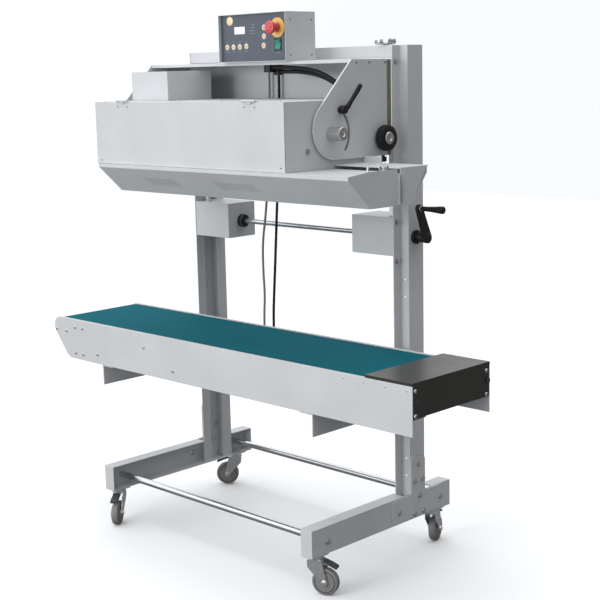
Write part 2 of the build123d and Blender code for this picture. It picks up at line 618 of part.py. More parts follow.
# ---- side handwheel on the right arm ----
ARM_OUT = side_x(1, LIP_IN)
ARM_IN = side_x(1, LIP_IN - ARM_T)
with BuildPart() as handwheel:
    rod_x(KNOB[0], KNOB[1], (ARM_IN, ARM_OUT + 8), 6.0)
    rod_x(KNOB[0], KNOB[1], (ARM_OUT + 4, ARM_OUT + 29), KNOB_R)
    rims = handwheel.edges().filter_by(GeomType.CIRCLE).group_by(lambda edge: edge.radius)[-1]
    fillet(rims, 4.0)
    rod_x(KNOB[0], KNOB[1], (ARM_OUT + 25, ARM_OUT + 30), 19.0, Mode.SUBTRACT)
    rod_x(KNOB[0], KNOB[1], (ARM_OUT + 20, ARM_OUT + 31), 17.0)
save(handwheel, "side_handwheel")

# ---- chrome lobed knob on the top beam ----
with BuildPart() as star_knob:
    rod_z(STAR[0], STAR[1], (COL_TOP - 12, COL_TOP + 8), STUD_R)
    rod_z(STAR[0], STAR[1], (COL_TOP + 0.4, COL_TOP + 8), 9.0)
    rod_z(STAR[0], STAR[1], (COL_TOP + 2, COL_TOP + 21), STAR_R)
    with Locations((STAR[0], STAR[1], COL_TOP + 11.5)):
        with PolarLocations(STAR_R, 6):
            Cylinder(6.0, 19.0)
save(star_knob, "top_knob")

# ---- cables ----
def cable(name, routes, radius):
    """Round cables along straight runs joined by arcs; prints each arc's radius."""
    ideal = 0.0
    with BuildPart() as tube:
        for points in routes:
            vectors = [Vector(*point) for point in points]
            radii = []
            for before, here, after in zip(vectors, vectors[1:], vectors[2:]):
                first = here - before
                second = after - here
                turn = math.radians(first.get_angle(second))
                shorter = min(first.length, second.length)
                radii.append(0.45 * shorter / math.tan(turn / 2))
            print(name, "radii", [round(value) for value in radii])
            with BuildLine() as path:
                FilletPolyline(*points, radius=radii)
            centre = path.wires()[0]
            with BuildSketch(Plane(origin=centre @ 0, z_dir=centre % 0)):
                Circle(radius)
            sweep(path=centre)
            print(name, "length", round(centre.length, 1))
            ideal += centre.length * math.pi * radius ** 2
    print(name, "volume", round(tube.part.volume), "section x length", round(ideal))
    save(tube, name)


GLAND_Z = 1392.0
SOCKET_Z = 606.0
GREY_ROUTE = [
    (-84, 75, GLAND_Z), (-84, 75, 1335), (-87, 75, 1245), (-94, 76, 1150), (-102, 75, 1058),
    (-113, 75, 965), (-130, 74, 876), (-132, 75, 790), (-127, 75, 710), (-133, 75, 654),
    (-133, 75, SOCKET_Z),
]
BLACK_ROUTE = [
    (-44, 75, GLAND_Z), (-44, 75, 1335), (-47, 75, 1245), (-52, 76, 1150), (-59, 75, 1058),
    (-66, 74, 965), (-74, 75, 876), (-82, 76, 790), (-88, 75, 710), (-92, 75, 654), (-92, 75, SOCKET_Z),
]
cable("sensor_cable", [GREY_ROUTE], 3.5)
cable("power_cable", [BLACK_ROUTE], 4.0)
ARM_GLAND_X = 346.0
HEAD_ROUTES = [
    [(52, -44, 1391), (100, -44, 1391), (158, -43, 1388), (210, -42, 1381), (254, -41, 1367),
     (286, -40, 1350), (316, -40, 1337), (ARM_GLAND_X, -40, 1337)],
    [(66, -26, 1379), (110, -26, 1379), (165, -25, 1376), (215, -24, 1367), (256, -24, 1352),
     (287, -24, 1334), (316, -24, 1320), (ARM_GLAND_X, -24, 1320)],
]
cable("head_cables", HEAD_ROUTES, 5.5)

with BuildPart() as cable_glands:
    for route in (GREY_ROUTE, BLACK_ROUTE):
        rod_z(route[0][0], route[0][1], (GLAND_Z, ARM_TOP - SHEET), 9.0)
    block((28, 52), (-54, -34), (1378, ARM_TOP - SHEET))
    block((44, 66), (-33, -16), (1370, ARM_TOP - SHEET))
    block((ARM_GLAND_X, BETWEEN_ARMS[1]), (-49, -31), (1328, 1346))
    block((ARM_GLAND_X, BETWEEN_ARMS[1]), (-32, -16), (1311, 1329))
save(cable_glands, "cable_glands")

with BuildPart() as junction_box:
    block((-150, -72), (CONV_Y[1], CONV_Y[1] + 52), (540, 596))
    for route in (GREY_ROUTE, BLACK_ROUTE):
        rod_z(route[-1][0], route[-1][1], (596, SOCKET_Z), 9.0)
save(junction_box, "junction_box")

# ---- tilting head: housing ----
BASE_T = 4.0
BAND_CENTRES = {"front": BAG_Y - BAND_OFFSET, "rear": BAG_Y + BAND_OFFSET}
STUD = (
    PIVOT[0] + SLOT_R * math.cos(math.radians(SLOT_ANGLES[1])),
    PIVOT[1] + SLOT_R * math.sin(math.radians(SLOT_ANGLES[1])),
)
with BuildPart() as housing:
    block(HOUSE_X, (HOUSE_Y[0] + SKIN + 1, HOUSE_Y[1]), HOUSE_Z)
    hollow_x = (HOUSE_X[0] + SKIN, HOUSE_X[1] - SKIN)
    block(hollow_x, (HOUSE_Y[0], HOUSE_Y[1] - SKIN), (HOUSE_Z[0] + BASE_T, HOUSE_Z[1] - SKIN), Mode.SUBTRACT)
    for x in BAND_X:
        for y in BAND_CENTRES.values():
            rod_z(x, y, (HOUSE_Z[0] - 1, HOUSE_Z[0] + BASE_T + 1), 6.0 + RUN_FIT, Mode.SUBTRACT)
    for x in HINGES_X:
        rod_x(*HINGE_AXIS, (x - 24, x - 10), 3.2)
        rod_x(*HINGE_AXIS, (x + 10, x + 24), 3.2)
        rod_x(*HINGE_AXIS, (x - 24, x + 24), 1.5)
        block((x - 24, x - 10), (HINGE_AXIS[0], -292), (HOUSE_Z[1], HOUSE_Z[1] + 2))
        block((x + 10, x + 24), (HINGE_AXIS[0], -292), (HOUSE_Z[1], HOUSE_Z[1] + 2))
save(housing, "head_housing")

with BuildPart() as front_cover:
    cover_x = (HOUSE_X[0], HOUSE_X[1])
    block(cover_x, (HOUSE_Y[0], HOUSE_Y[0] + SKIN), (FRONT_RIM_TOP + 0.6, HOUSE_Z[1]))
    for x in HINGES_X:
        rod_x(*HINGE_AXIS, (x - 9.6, x + 9.6), 3.2)
        block((x - 9.6, x + 9.6), (HINGE_AXIS[0] - 1, HOUSE_Y[0] + SKIN), (HOUSE_Z[1] - 4, HOUSE_Z[1] + 0.5))
        rod_x(*HINGE_AXIS, (x - 10, x + 10), 1.5 + RUN_FIT, Mode.SUBTRACT)
save(front_cover, "front_cover")

with BuildPart() as motor_cover:
    block(MOTOR_BOX_X, MOTOR_BOX_Y, (HOUSE_Z[1], MOTOR_BOX_TOP))
    block((MOTOR_BOX_X[0] + SKIN, MOTOR_BOX_X[1] - SKIN), (MOTOR_BOX_Y[0] + SKIN, MOTOR_BOX_Y[1] - SKIN),
          (HOUSE_Z[1] - 1, MOTOR_BOX_TOP - SKIN), Mode.SUBTRACT)
save(motor_cover, "motor_cover")

# ---- pivot pins and the clamp stud, fixed in the housing's sides ----
with BuildPart() as pivot_pins:
    rod_x(*PIVOT, (HOUSE_X[1], HOUSE_X[1] + 54), PIVOT_R)
    rod_x(*PIVOT, (side_x(-1, LIP_IN) - 6, HOUSE_X[0]), PIVOT_R)
    rod_x(*STUD, (HOUSE_X[1], ARM_OUT + 8), 4.0)
save(pivot_pins, "pivot_pins")

LEVER_REACH = (40.0, 62.0)
with BuildPart() as clamp_lever:
    rod_x(*STUD, (ARM_OUT + 0.5, ARM_OUT + 22), 11.0)
    rod_x(*STUD, (ARM_OUT - 1, ARM_OUT + 8.5), 4.0 + RUN_FIT, Mode.SUBTRACT)
    lever_start = Vector(ARM_OUT + 14, STUD[0], STUD[1])
    lever_end = Vector(ARM_OUT + 36, STUD[0] + LEVER_REACH[0], STUD[1] + LEVER_REACH[1])
    lever_plane = Plane(origin=lever_start, z_dir=lever_end - lever_start)
    with BuildSketch(lever_plane):
        Circle(6.0)
    with BuildSketch(lever_plane.offset((lever_end - lever_start).length)):
        Circle(5.0)
    loft()
save(clamp_lever, "clamp_lever")

# ---- trays under the head, with the bag slit between them ----
HALF = SKIN / 2
FRONT_FOLD = [
    (HOUSE_Y[0] + SKIN, FRONT_RIM_TOP - HALF), (TRAY_FRONT + HALF, FRONT_RIM_TOP - HALF),
    (TRAY_FRONT + HALF, RIM_Z[0]), (TRAY_FRONT_FOOT, TRAY_Z + HALF),
    (BAG_Y - SLIT_HALF - HALF, TRAY_Z + HALF), (BAG_Y - SLIT_HALF - HALF, TRAY_Z + 18),
]
REAR_FOLD = [
    (TRAY_BACK - HALF, RIM_Z[0] + HALF), (TRAY_BACK_FOOT, TRAY_Z + HALF),
    (BAG_Y + SLIT_HALF + HALF, TRAY_Z + HALF), (BAG_Y + SLIT_HALF + HALF, TRAY_Z + 18),
]
FRONT_END = [(TRAY_FRONT, FRONT_RIM_TOP), (TRAY_FRONT, RIM_Z[0]), (TRAY_FRONT_FOOT, TRAY_Z),
             (BAG_Y - SLIT_HALF, TRAY_Z), (BAG_Y - SLIT_HALF, RIM_Z[0])]
REAR_END = [(TRAY_BACK, RIM_Z[0]), (TRAY_BACK_FOOT, TRAY_Z), (BAG_Y + SLIT_HALF, TRAY_Z),
            (BAG_Y + SLIT_HALF, RIM_Z[0])]
FRONT_SHELF_END = FRONT_END[:4] + [(BAG_Y - SLIT_HALF, RIM_Z[1]), (-240, RIM_Z[1])]
REAR_SHELF_END = [(TRAY_BACK, RIM_Z[1])] + REAR_END[1:3] + [(BAG_Y + SLIT_HALF, RIM_Z[1])]
SHELF_X = (HOUSE_X[1], TRAY_X[1])
SHELF_T = 3.0
WING = (558.0, -162.0)
WING_PLATE_Z = (FRONT_RIM_TOP - SKIN, FRONT_RIM_TOP)
WING_STEM_R = 3.0
with BuildPart() as tray_front:
    bent_strip(FRONT_FOLD, SKIN, TRAY_X)
    plate_yz((TRAY_X[1] - SKIN, TRAY_X[1]), FRONT_SHELF_END)
    plate_yz((TRAY_X[0], TRAY_X[0] + SKIN), [(TRAY_FRONT, RIM_Z[0])] + FRONT_END[2:])
    block((SHELF_X[0] + SKIN, SHELF_X[1]), (TRAY_FRONT + HALF, BAG_Y - SLIT_HALF), WING_PLATE_Z)
    rod_z(*WING, (WING_PLATE_Z[0] - 1, WING_PLATE_Z[1] + 1), WING_STEM_R + RUN_FIT, Mode.SUBTRACT)
save(tray_front, "tray_front")
with BuildPart() as tray_rear:
    bent_strip(REAR_FOLD, SKIN, TRAY_X)
    plate_yz((TRAY_X[1] - SKIN, TRAY_X[1]), REAR_SHELF_END)
    plate_yz((TRAY_X[0], TRAY_X[0] + SKIN), REAR_END)
    block(SHELF_X, (BAG_Y + SLIT_HALF, TRAY_BACK + 4), (RIM_Z[1], RIM_Z[1] + SHELF_T))
    block(SHELF_X, (TRAY_BACK - SKIN, TRAY_BACK), (RIM_Z[0] + HALF, RIM_Z[1]))
    block((ARM_OUT + 2, ARM_OUT + 62), (TRAY_BACK - SHEET, TRAY_BACK), (RIM_Z[1], RIM_Z[1] + 20))
save(tray_rear, "tray_rear")

with BuildPart() as wing_bolt:
    top = WING_PLATE_Z[1]
    rod_z(*WING, (top - 14, top + 9), WING_STEM_R)
    rod_z(*WING, (top + 0.4, top + 9), 6.0)
    rod_z(*WING, (top + 9, top + 15), 5.0)
    for turn in (-1, 1):
        block((WING[0] - 2, WING[0] + 2), (WING[1], WING[1] + turn * 18), (top + 8, top + 17))
save(wing_bolt, "wing_bolt")

# ---- sealing bands, their wheels, and the heating and cooling blocks with the drive motor ----
BAND_INNER = [BAND_WHEEL_R + BELT_GAP] * 2
BAND_OUTER = [radius + BAND_T for radius in BAND_INNER]
with BuildPart() as bands:
    for y in BAND_CENTRES.values():
        ends = [(BAND_X[0], y), (BAND_X[1], y)]
        height = BAND_Z[1] - BAND_Z[0]
        loop(Plane.XY.offset(BAND_Z[0]), ends, BAND_OUTER, height)
        loop(Plane.XY.offset(BAND_Z[0] - 1), ends, BAND_INNER, height + 2, Mode.SUBTRACT)
save(bands, "sealing_bands")

for word, y in BAND_CENTRES.items():
    for end, x in (("outfeed", BAND_X[0]), ("infeed", BAND_X[1])):
        with BuildPart() as band_wheel:
            rod_z(x, y, (BAND_Z[0] - 2, BAND_Z[1] + 2), BAND_WHEEL_R)
            rod_z(x, y, (BAND_Z[0] - 8, HOUSE_Z[0] + BASE_T + 10), 6.0)
            rod_z(x, y, (HOUSE_Z[0] + BASE_T + 0.4, HOUSE_Z[0] + BASE_T + 8), 14.0)
        save(band_wheel, "band_wheel_" + end + "_" + word)

BLOCK_GAP = 0.4
MOTOR_XY = (-285.0, -55.0)
with BuildPart() as sealing_unit:
    rod_z(*MOTOR_XY, (HOUSE_Z[0] + BASE_T, HOUSE_Z[0] + 70), 38.0)
    rod_z(*MOTOR_XY, (HOUSE_Z[0] + 70, HOUSE_Z[1] - SKIN - 1), 34.0)
    for x in ((90, 200), (-70, 50), (-200, -140)):
        for turn in (-1, 1):
            face = BAG_Y + turn * (BAND_OFFSET - BAND_WHEEL_R + BLOCK_GAP)
            block(x, (face, face + turn * 22), (BAND_Z[0] - 3, BAND_Z[1] + 3))
            rod_z(sum(x) / 2, face + turn * 11, (BAND_Z[1] + 3, HOUSE_Z[0]), 6.0)
save(sealing_unit, "sealing_unit")

print(len(made), "nodes")
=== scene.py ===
import math
import json
import bpy
import bmesh
from mathutils import Vector, Matrix


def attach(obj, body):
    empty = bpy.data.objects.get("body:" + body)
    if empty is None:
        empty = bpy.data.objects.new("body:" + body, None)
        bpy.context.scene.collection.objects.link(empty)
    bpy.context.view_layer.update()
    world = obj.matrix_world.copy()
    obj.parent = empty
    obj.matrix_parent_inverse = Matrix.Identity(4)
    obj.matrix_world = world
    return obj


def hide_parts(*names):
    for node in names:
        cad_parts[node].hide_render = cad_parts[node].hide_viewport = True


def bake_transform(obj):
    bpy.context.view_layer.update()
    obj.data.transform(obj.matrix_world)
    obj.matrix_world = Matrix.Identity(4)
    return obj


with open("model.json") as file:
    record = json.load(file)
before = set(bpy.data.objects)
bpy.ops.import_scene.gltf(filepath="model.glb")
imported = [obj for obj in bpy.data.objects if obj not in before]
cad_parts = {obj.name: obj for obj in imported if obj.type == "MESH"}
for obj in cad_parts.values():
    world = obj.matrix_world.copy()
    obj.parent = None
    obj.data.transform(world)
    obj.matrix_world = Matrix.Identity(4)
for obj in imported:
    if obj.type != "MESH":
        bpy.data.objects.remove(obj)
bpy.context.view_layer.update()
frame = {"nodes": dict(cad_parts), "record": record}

# ---- materials


def new_material(name):
    mat = bpy.data.materials.new(name)
    mat.use_nodes = True
    nodes = mat.node_tree.nodes
    nodes.clear()
    out = nodes.new("ShaderNodeOutputMaterial")
    shader = nodes.new("ShaderNodeBsdfPrincipled")
    mat.node_tree.links.new(shader.outputs["BSDF"], out.inputs["Surface"])
    return mat, nodes, mat.node_tree.links, shader


def object_coords(nodes, links, scale):
    coords = nodes.new("ShaderNodeTexCoord")
    mapping = nodes.new("ShaderNodeMapping")
    mapping.inputs["Scale"].default_value = scale
    links.new(coords.outputs["Object"], mapping.inputs["Vector"])
    return mapping.outputs["Vector"]


def noise(nodes, links, vector, scale, detail=4.0, rough=0.55):
    node = nodes.new("ShaderNodeTexNoise")
    node.inputs["Scale"].default_value = scale
    node.inputs["Detail"].default_value = detail
    node.inputs["Roughness"].default_value = rough
    links.new(vector, node.inputs["Vector"])
    return node.outputs["Fac"]


def ramp(nodes, links, factor, stops):
    node = nodes.new("ShaderNodeValToRGB")
    node.color_ramp.elements[0].position = stops[0][0]
    node.color_ramp.elements[0].color = (*stops[0][1], 1)
    node.color_ramp.elements[1].position = stops[-1][0]
    node.color_ramp.elements[1].color = (*stops[-1][1], 1)
    for place, colour in stops[1:-1]:
        element = node.color_ramp.elements.new(place)
        element.color = (*colour, 1)
    links.new(factor, node.inputs["Fac"])
    return node.outputs["Color"]


def ranged(nodes, links, factor, low, high):
    node = nodes.new("ShaderNodeMapRange")
    node.inputs["To Min"].default_value = low
    node.inputs["To Max"].default_value = high
    links.new(factor, node.inputs["Value"])
    return node.outputs["Result"]


def bump(nodes, links, shader, height, strength, distance):
    node = nodes.new("ShaderNodeBump")
    node.inputs["Strength"].default_value = strength
    node.inputs["Distance"].default_value = distance
    links.new(height, node.inputs["Height"])
    links.new(node.outputs["Normal"], shader.inputs["Normal"])


def shade(colour, gain):
    return tuple(min(1.0, channel * gain) for channel in colour)


def painted(name, colour, rough=0.42, grain=900.0, depth=0.00012, metal=0.0, spread=0.05, specular=0.5):
    """Powder paint: fine orange peel, slow tone drift and a little uneven gloss."""
    mat, nodes, links, shader = new_material(name)
    fine = noise(nodes, links, object_coords(nodes, links, (1, 1, 1)), grain, 3.0)
    slow = noise(nodes, links, object_coords(nodes, links, (1, 1, 1)), 5.0, 5.0)
    links.new(ramp(nodes, links, slow, [(0.3, shade(colour, 1 - spread)), (0.7, shade(colour, 1 + spread))]),
              shader.inputs["Base Color"])
    links.new(ranged(nodes, links, slow, rough - 0.05, rough + 0.07), shader.inputs["Roughness"])
    shader.inputs["Metallic"].default_value = metal
    shader.inputs["Specular IOR Level"].default_value = specular
    bump(nodes, links, shader, fine, 0.35, depth)
    return mat


def metal(name, colour, rough, stretch=(1, 1, 1), grain=400.0, depth=0.00004, spread=0.08):
    """Bare or plated metal; a stretched noise makes a brushed direction."""
    mat, nodes, links, shader = new_material(name)
    vector = object_coords(nodes, links, stretch)
    fine = noise(nodes, links, vector, grain, 3.0)
    slow = noise(nodes, links, object_coords(nodes, links, (1, 1, 1)), 9.0, 4.0)
    stops = [(0.25, shade(colour, 1 - spread)), (0.75, shade(colour, 1 + spread))]
    links.new(ramp(nodes, links, fine, stops), shader.inputs["Base Color"])
    links.new(ranged(nodes, links, slow, max(0.03, rough - 0.06), rough + 0.08), shader.inputs["Roughness"])
    shader.inputs["Metallic"].default_value = 1.0
    bump(nodes, links, shader, fine, 0.25, depth)
    return mat


def plastic(name, colour, rough, grain=1400.0, depth=0.00008, spread=0.06, coat=0.0, specular=0.5):
    mat, nodes, links, shader = new_material(name)
    fine = noise(nodes, links, object_coords(nodes, links, (1, 1, 1)), grain, 2.0)
    slow = noise(nodes, links, object_coords(nodes, links, (1, 1, 1)), 20.0, 3.0)
    links.new(ramp(nodes, links, slow, [(0.3, shade(colour, 1 - spread)), (0.7, shade(colour, 1 + spread))]),
              shader.inputs["Base Color"])
    links.new(ranged(nodes, links, slow, max(0.03, rough - 0.04), rough + 0.06), shader.inputs["Roughness"])
    shader.inputs["Coat Weight"].default_value = coat
    shader.inputs["Specular IOR Level"].default_value = specular
    bump(nodes, links, shader, fine, 0.3, depth)
    return mat


def belt_material():
    """Teal belt: fine fabric impression and faint lengthwise streaks from running."""
    mat, nodes, links, shader = new_material("belt_teal")
    streak = noise(nodes, links, object_coords(nodes, links, (0.6, 14.0, 1.0)), 9.0, 5.0)
    fine = noise(nodes, links, object_coords(nodes, links, (1, 1, 1)), 1800.0, 2.0)
    links.new(ramp(nodes, links, streak, [(0.25, (0.001, 0.098, 0.128)), (0.55, (0.001, 0.118, 0.152)),
                                          (0.8, (0.003, 0.140, 0.178))]), shader.inputs["Base Color"])
    links.new(ranged(nodes, links, streak, 0.70, 0.84), shader.inputs["Roughness"])
    shader.inputs["Specular IOR Level"].default_value = 0.05
    bump(nodes, links, shader, fine, 0.35, 0.00010)
    return mat


MATS = {
    "grey_paint": painted("grey_paint", (0.58, 0.59, 0.60), 0.45, specular=0.35),
    "column_paint": painted("column_paint", (0.54, 0.55, 0.56), 0.44, specular=0.35),
    "chrome": metal("chrome", (0.66, 0.66, 0.67), 0.22, spread=0.03),
    "zinc": metal("zinc", (0.80, 0.81, 0.82), 0.26, grain=160.0, spread=0.14),
    "brushed_steel": metal("brushed_steel", (0.58, 0.59, 0.60), 0.30, stretch=(0.02, 1.0, 1.0), grain=900.0),
    "castor_tread": plastic("castor_tread", (0.24, 0.23, 0.225), 0.6, grain=600.0),
    "belt_teal": belt_material(),
    "black_plastic": plastic("black_plastic", (0.012, 0.012, 0.013), 0.42, specular=0.3),
    "black_cable": plastic("black_cable", (0.009, 0.009, 0.010), 0.5, specular=0.22),
    "grey_cable": plastic("grey_cable", (0.20, 0.205, 0.21), 0.5),
    "motor_grey": painted("motor_grey", (0.16, 0.17, 0.18), 0.5),
    "slate_panel": plastic("slate_panel", (0.060, 0.075, 0.10), 0.34, coat=0.2),
    "key_cream": plastic("key_cream", (0.70, 0.58, 0.42), 0.4),
    "red_button": plastic("red_button", (0.62, 0.055, 0.075), 0.3, coat=0.3),
    "green_switch": plastic("green_switch", (0.004, 0.24, 0.145), 0.3, coat=0.3),
    "sealing_band": plastic("sealing_band", (0.20, 0.11, 0.05), 0.4),
    "band_wheel": plastic("band_wheel", (0.16, 0.05, 0.035), 0.6),
}

for row in frame["record"]["subparts"]:
    obj = bpy.data.objects.get(row["node"])
    if obj is None:
        continue
    slot = row["material_slot"]
    obj.data.materials.clear()
    obj.data.materials.append(MATS[slot])

# ---- mesh helpers
MM = 0.001


def finish_piece(name, bm, materials, body, smooth=35.0, bevel=0.0, segments=2, replace=()):
    """Turn a bmesh in millimetres into a piece, which rides on a body unless that is None."""
    mesh = bpy.data.meshes.new(name)
    bmesh.ops.recalc_face_normals(bm, faces=bm.faces)
    bmesh.ops.scale(bm, vec=(MM, MM, MM), verts=bm.verts)
    bm.to_mesh(mesh)
    bm.free()
    obj = bpy.data.objects.new(name, mesh)
    bpy.context.scene.collection.objects.link(obj)
    for mat in materials:
        mesh.materials.append(mat)
    dress(obj, smooth, bevel, segments)
    if body:
        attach(obj, body)
    if replace:
        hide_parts(*replace)
    return obj


def dress(obj, smooth, bevel, segments):
    """Round the sharp edges and shade the curved ones smooth."""
    mesh = obj.data
    for poly in mesh.polygons:
        poly.use_smooth = True
    limit = math.radians(smooth)
    bm = bmesh.new()
    bm.from_mesh(mesh)
    for edge in bm.edges:
        if len(edge.link_faces) != 2 or edge.calc_face_angle(math.pi) > limit:
            edge.smooth = False
    bm.to_mesh(mesh)
    bm.free()
    if bevel:
        mod = obj.modifiers.new("edge", "BEVEL")
        mod.width = bevel * MM
        mod.segments = segments
        mod.limit_method = "ANGLE"
        mod.angle_limit = math.radians(32)
        mod.use_clamp_overlap = True
        mod.harden_normals = True


def rounded(node, body, bevel=0.8, segments=2, material=None, slot=None):
    """A copy of a sheet or machined node with its real edge rounding, in place of the plain one."""
    source = frame["nodes"][node]
    bm = bmesh.new()
    bm.from_mesh(source.data)
    bmesh.ops.transform(bm, matrix=source.matrix_world, verts=bm.verts)
    bmesh.ops.remove_doubles(bm, verts=bm.verts, dist=1e-6)
    bmesh.ops.dissolve_limit(bm, angle_limit=math.radians(0.6), verts=bm.verts, edges=bm.edges)
    bmesh.ops.scale(bm, vec=(1000, 1000, 1000), verts=bm.verts)
    row = next(r for r in frame["record"]["subparts"] if r["node"] == node)
    slot = slot or row["material_slot"]
    return finish_piece(node + "_finish", bm, [material or MATS[slot]], body, bevel=bevel,
                        segments=segments, replace=(node,))


def add_box(bm, x, y, z, index=0):
    verts = [bm.verts.new((a, b, c)) for a in x for b in y for c in z]
    for quad in ((0, 1, 3, 2), (4, 6, 7, 5), (0, 4, 5, 1), (2, 3, 7, 6), (0, 2, 6, 4), (1, 5, 7, 3)):
        face = bm.faces.new([verts[i] for i in quad])
        face.material_index = index


def basis(direction):
    """Two directions square to the given one."""
    direction = Vector(direction).normalized()
    side = Vector((0, 0, 1)) if abs(direction.z) < 0.9 else Vector((1, 0, 0))
    first = direction.cross(side).normalized()
    return direction, first, direction.cross(first).normalized()


def add_lathe(bm, origin, direction, profile, steps=32, index=0, lobes=0, depth=0.0, phase=0.0):
    """Turn a profile of (radius, distance along the axis) round an axis; lobes make a knurl or a star."""
    direction, first, second = basis(direction)
    origin = Vector(origin)
    rings = []
    for radius, along in profile:
        centre = origin + direction * along
        if radius < 1e-6:
            rings.append([bm.verts.new(centre)])
            continue
        ring = []
        for step in range(steps):
            turn = 2 * math.pi * step / steps + phase
            reach = radius
            if lobes:
                reach = radius - depth * (0.5 - 0.5 * math.cos(lobes * turn))
            ring.append(bm.verts.new(centre + (first * math.cos(turn) + second * math.sin(turn)) * reach))
        rings.append(ring)
    for low, high in zip(rings, rings[1:]):
        for step in range(steps):
            after = (step + 1) % steps
            corners = []
            for ring, place in ((low, step), (low, after), (high, after), (high, step)):
                vert = ring[0] if len(ring) == 1 else ring[place]
                if vert not in corners:
                    corners.append(vert)
            if len(corners) > 2:
                face = bm.faces.new(corners)
                face.material_index = index
    for ring in (rings[0], rings[-1]):
        if len(ring) > 1:
            face = bm.faces.new(ring)
            face.material_index = index


def add_prism(bm, points, axis, span, index=0):
    """A flat outline given on the two other axes, pushed along one axis."""
    order = {
        "X": lambda a, b, c: (c, a, b),
        "Y": lambda a, b, c: (a, c, b),
        "Z": lambda a, b, c: (a, b, c),
    }[axis]
    ends = []
    for value in span:
        ends.append([bm.verts.new(order(a, b, value)) for a, b in points])
    for ring in ends:
        face = bm.faces.new(ring)
        face.material_index = index
    count = len(points)
    for step in range(count):
        after = (step + 1) % count
        face = bm.faces.new((ends[0][step], ends[0][after], ends[1][after], ends[1][step]))
        face.material_index = index


def add_tube(bm, points, radii, steps=16, index=0):
    """A round bar through points, with its own radius at each."""
    points = [Vector(p) for p in points]
    rings = []
    direction, first, second = basis(points[1] - points[0])
    for place, point in enumerate(points):
        ahead_point = points[min(place + 1, len(points) - 1)]
        behind_point = points[max(place - 1, 0)]
        tangent = (ahead_point - behind_point).normalized()
        first = (first - tangent * first.dot(tangent)).normalized()
        second = tangent.cross(first)
        ring = []
        for step in range(steps):
            turn = 2 * math.pi * step / steps
            outward = first * math.cos(turn) + second * math.sin(turn)
            ring.append(bm.verts.new(point + outward * radii[place]))
        rings.append(ring)
    for low, high in zip(rings, rings[1:]):
        for step in range(steps):
            after = (step + 1) % steps
            face = bm.faces.new((low[step], low[after], high[after], high[step]))
            face.material_index = index
    for ring in (rings[0], rings[-1]):
        face = bm.faces.new(ring)
        face.material_index = index


def hex_bolt(bm, place, direction, size=10.0, washer=13.0, index=0):
    """A washer and a chamfered hexagon head."""
    add_lathe(bm, place, direction, [(washer * 0.5, 0), (washer * 0.5, 0.8), (washer * 0.3, 1.0)], 24, index)
    across = size * 0.577
    add_lathe(bm, place, direction, [(across, 0.8), (across, 3.9), (across * 0.86, 4.5), (0, 4.6)], 6, index)


def socket_screw(bm, place, direction, radius=3.2, height=1.5, index=0, socket_shade=1):
    """A button head; its hexagon socket is a flat near-black disc on top, painted shade standing in for the
    hollow.
    """
    add_lathe(bm, place, direction,
              [(radius, 0), (radius, height * 0.3), (radius * 0.88, height * 0.72), (radius * 0.6, height)],
              20, index)
    direction = Vector(direction).normalized()
    # the socket is not cut: a thin near-black hexagon disc just above the head is painted shade for the
    # hollow
    socket = Vector(place) + direction * (height + 0.01)
    add_lathe(bm, socket, direction, [(radius * 0.5, 0), (0, 0.02)], 6, socket_shade)

# ---- sizes shared with the CAD, in millimetres
FRAME_X = -50.0
FOOT_FACE = 451.0
SHAFT = (158.0, 921.0)
CRANK_END = (124.0, 1005.0)
CRANK_X = 431.0
PIVOT = (-142.0, 1218.0)
STUD = (-107.0, 1278.62)
KNOB = (57.0, 1198.0)
ARM_OUT = 363.0
PANEL_Y = -71.0
ESTOP = (105.0, 1498.0)
SWITCH = (104.0, 1452.0)
CASTORS = {
    "front_left": (-477.0, -245.0, -54.0), "front_right": (377.0, -245.0, 22.0),
    "rear_left": (-477.0, 250.2, -135.0), "rear_right": (377.0, 250.2, 111.0),
}
FOOT_WEB = 448.0                # outer web face of a foot, from FRAME_X
FOOT_INNER = 445.0
COLUMN_INNER = 442.0
CONVEYOR_FRONT = -271
CONVEYOR_BACK = 40
CONVEYOR_END = 736
WHEEL_R = 37.5
WING = (558, -162)
STAR = (329, 115)
HOUSE_RIGHT = 353
HOUSE_TOP = 1304
COVER_FACE = -302
# near-black plastic for bezels, key marks, knobs and black screw heads; also the painted shade of the flat
# screw-socket discs
DARK_PLASTIC_AND_SOCKET_SHADE = plastic("socket_shade_and_dark_plastic", (0.03, 0.03, 0.032), 0.6)
PLATED = metal("plated_screw", (0.42, 0.43, 0.45), 0.30, grain=300.0)
PEDAL = plastic("pedal_dark", (0.035, 0.045, 0.05), 0.4)
HUB = plastic("wheel_hub", (0.82, 0.83, 0.84), 0.45)
RING = plastic("wheel_ring", (0.05, 0.055, 0.06), 0.5)
BRIGHT = metal("bright_screw", (0.66, 0.64, 0.60), 0.26, grain=300.0)
WHITE_PRINT = plastic("white_print", (0.22, 0.25, 0.29), 0.5)

# ---- sheet metal and machined nodes with rounded edges
ROOT_SHEETS = [
    "foot_left", "foot_right", "column_left", "column_right", "gusset_plates", "top_beam", "gear_boxes",
    "conveyor_brackets", "conveyor_panel_front", "conveyor_panel_back",
]
for node in ROOT_SHEETS:
    rounded(node, "frame", bevel=1.0)
for node in ("arm_left", "arm_right", "carriage_bridge"):
    rounded(node, "carriage", bevel=0.9)
rounded("control_box", "carriage", bevel=0.9)
for node in ("head_housing", "motor_cover", "tray_front", "tray_rear"):
    rounded(node, "sealing_head", bevel=0.9)
rounded("front_cover", "front_cover", bevel=0.9)
rounded("tie_rods", "frame", bevel=0.8)

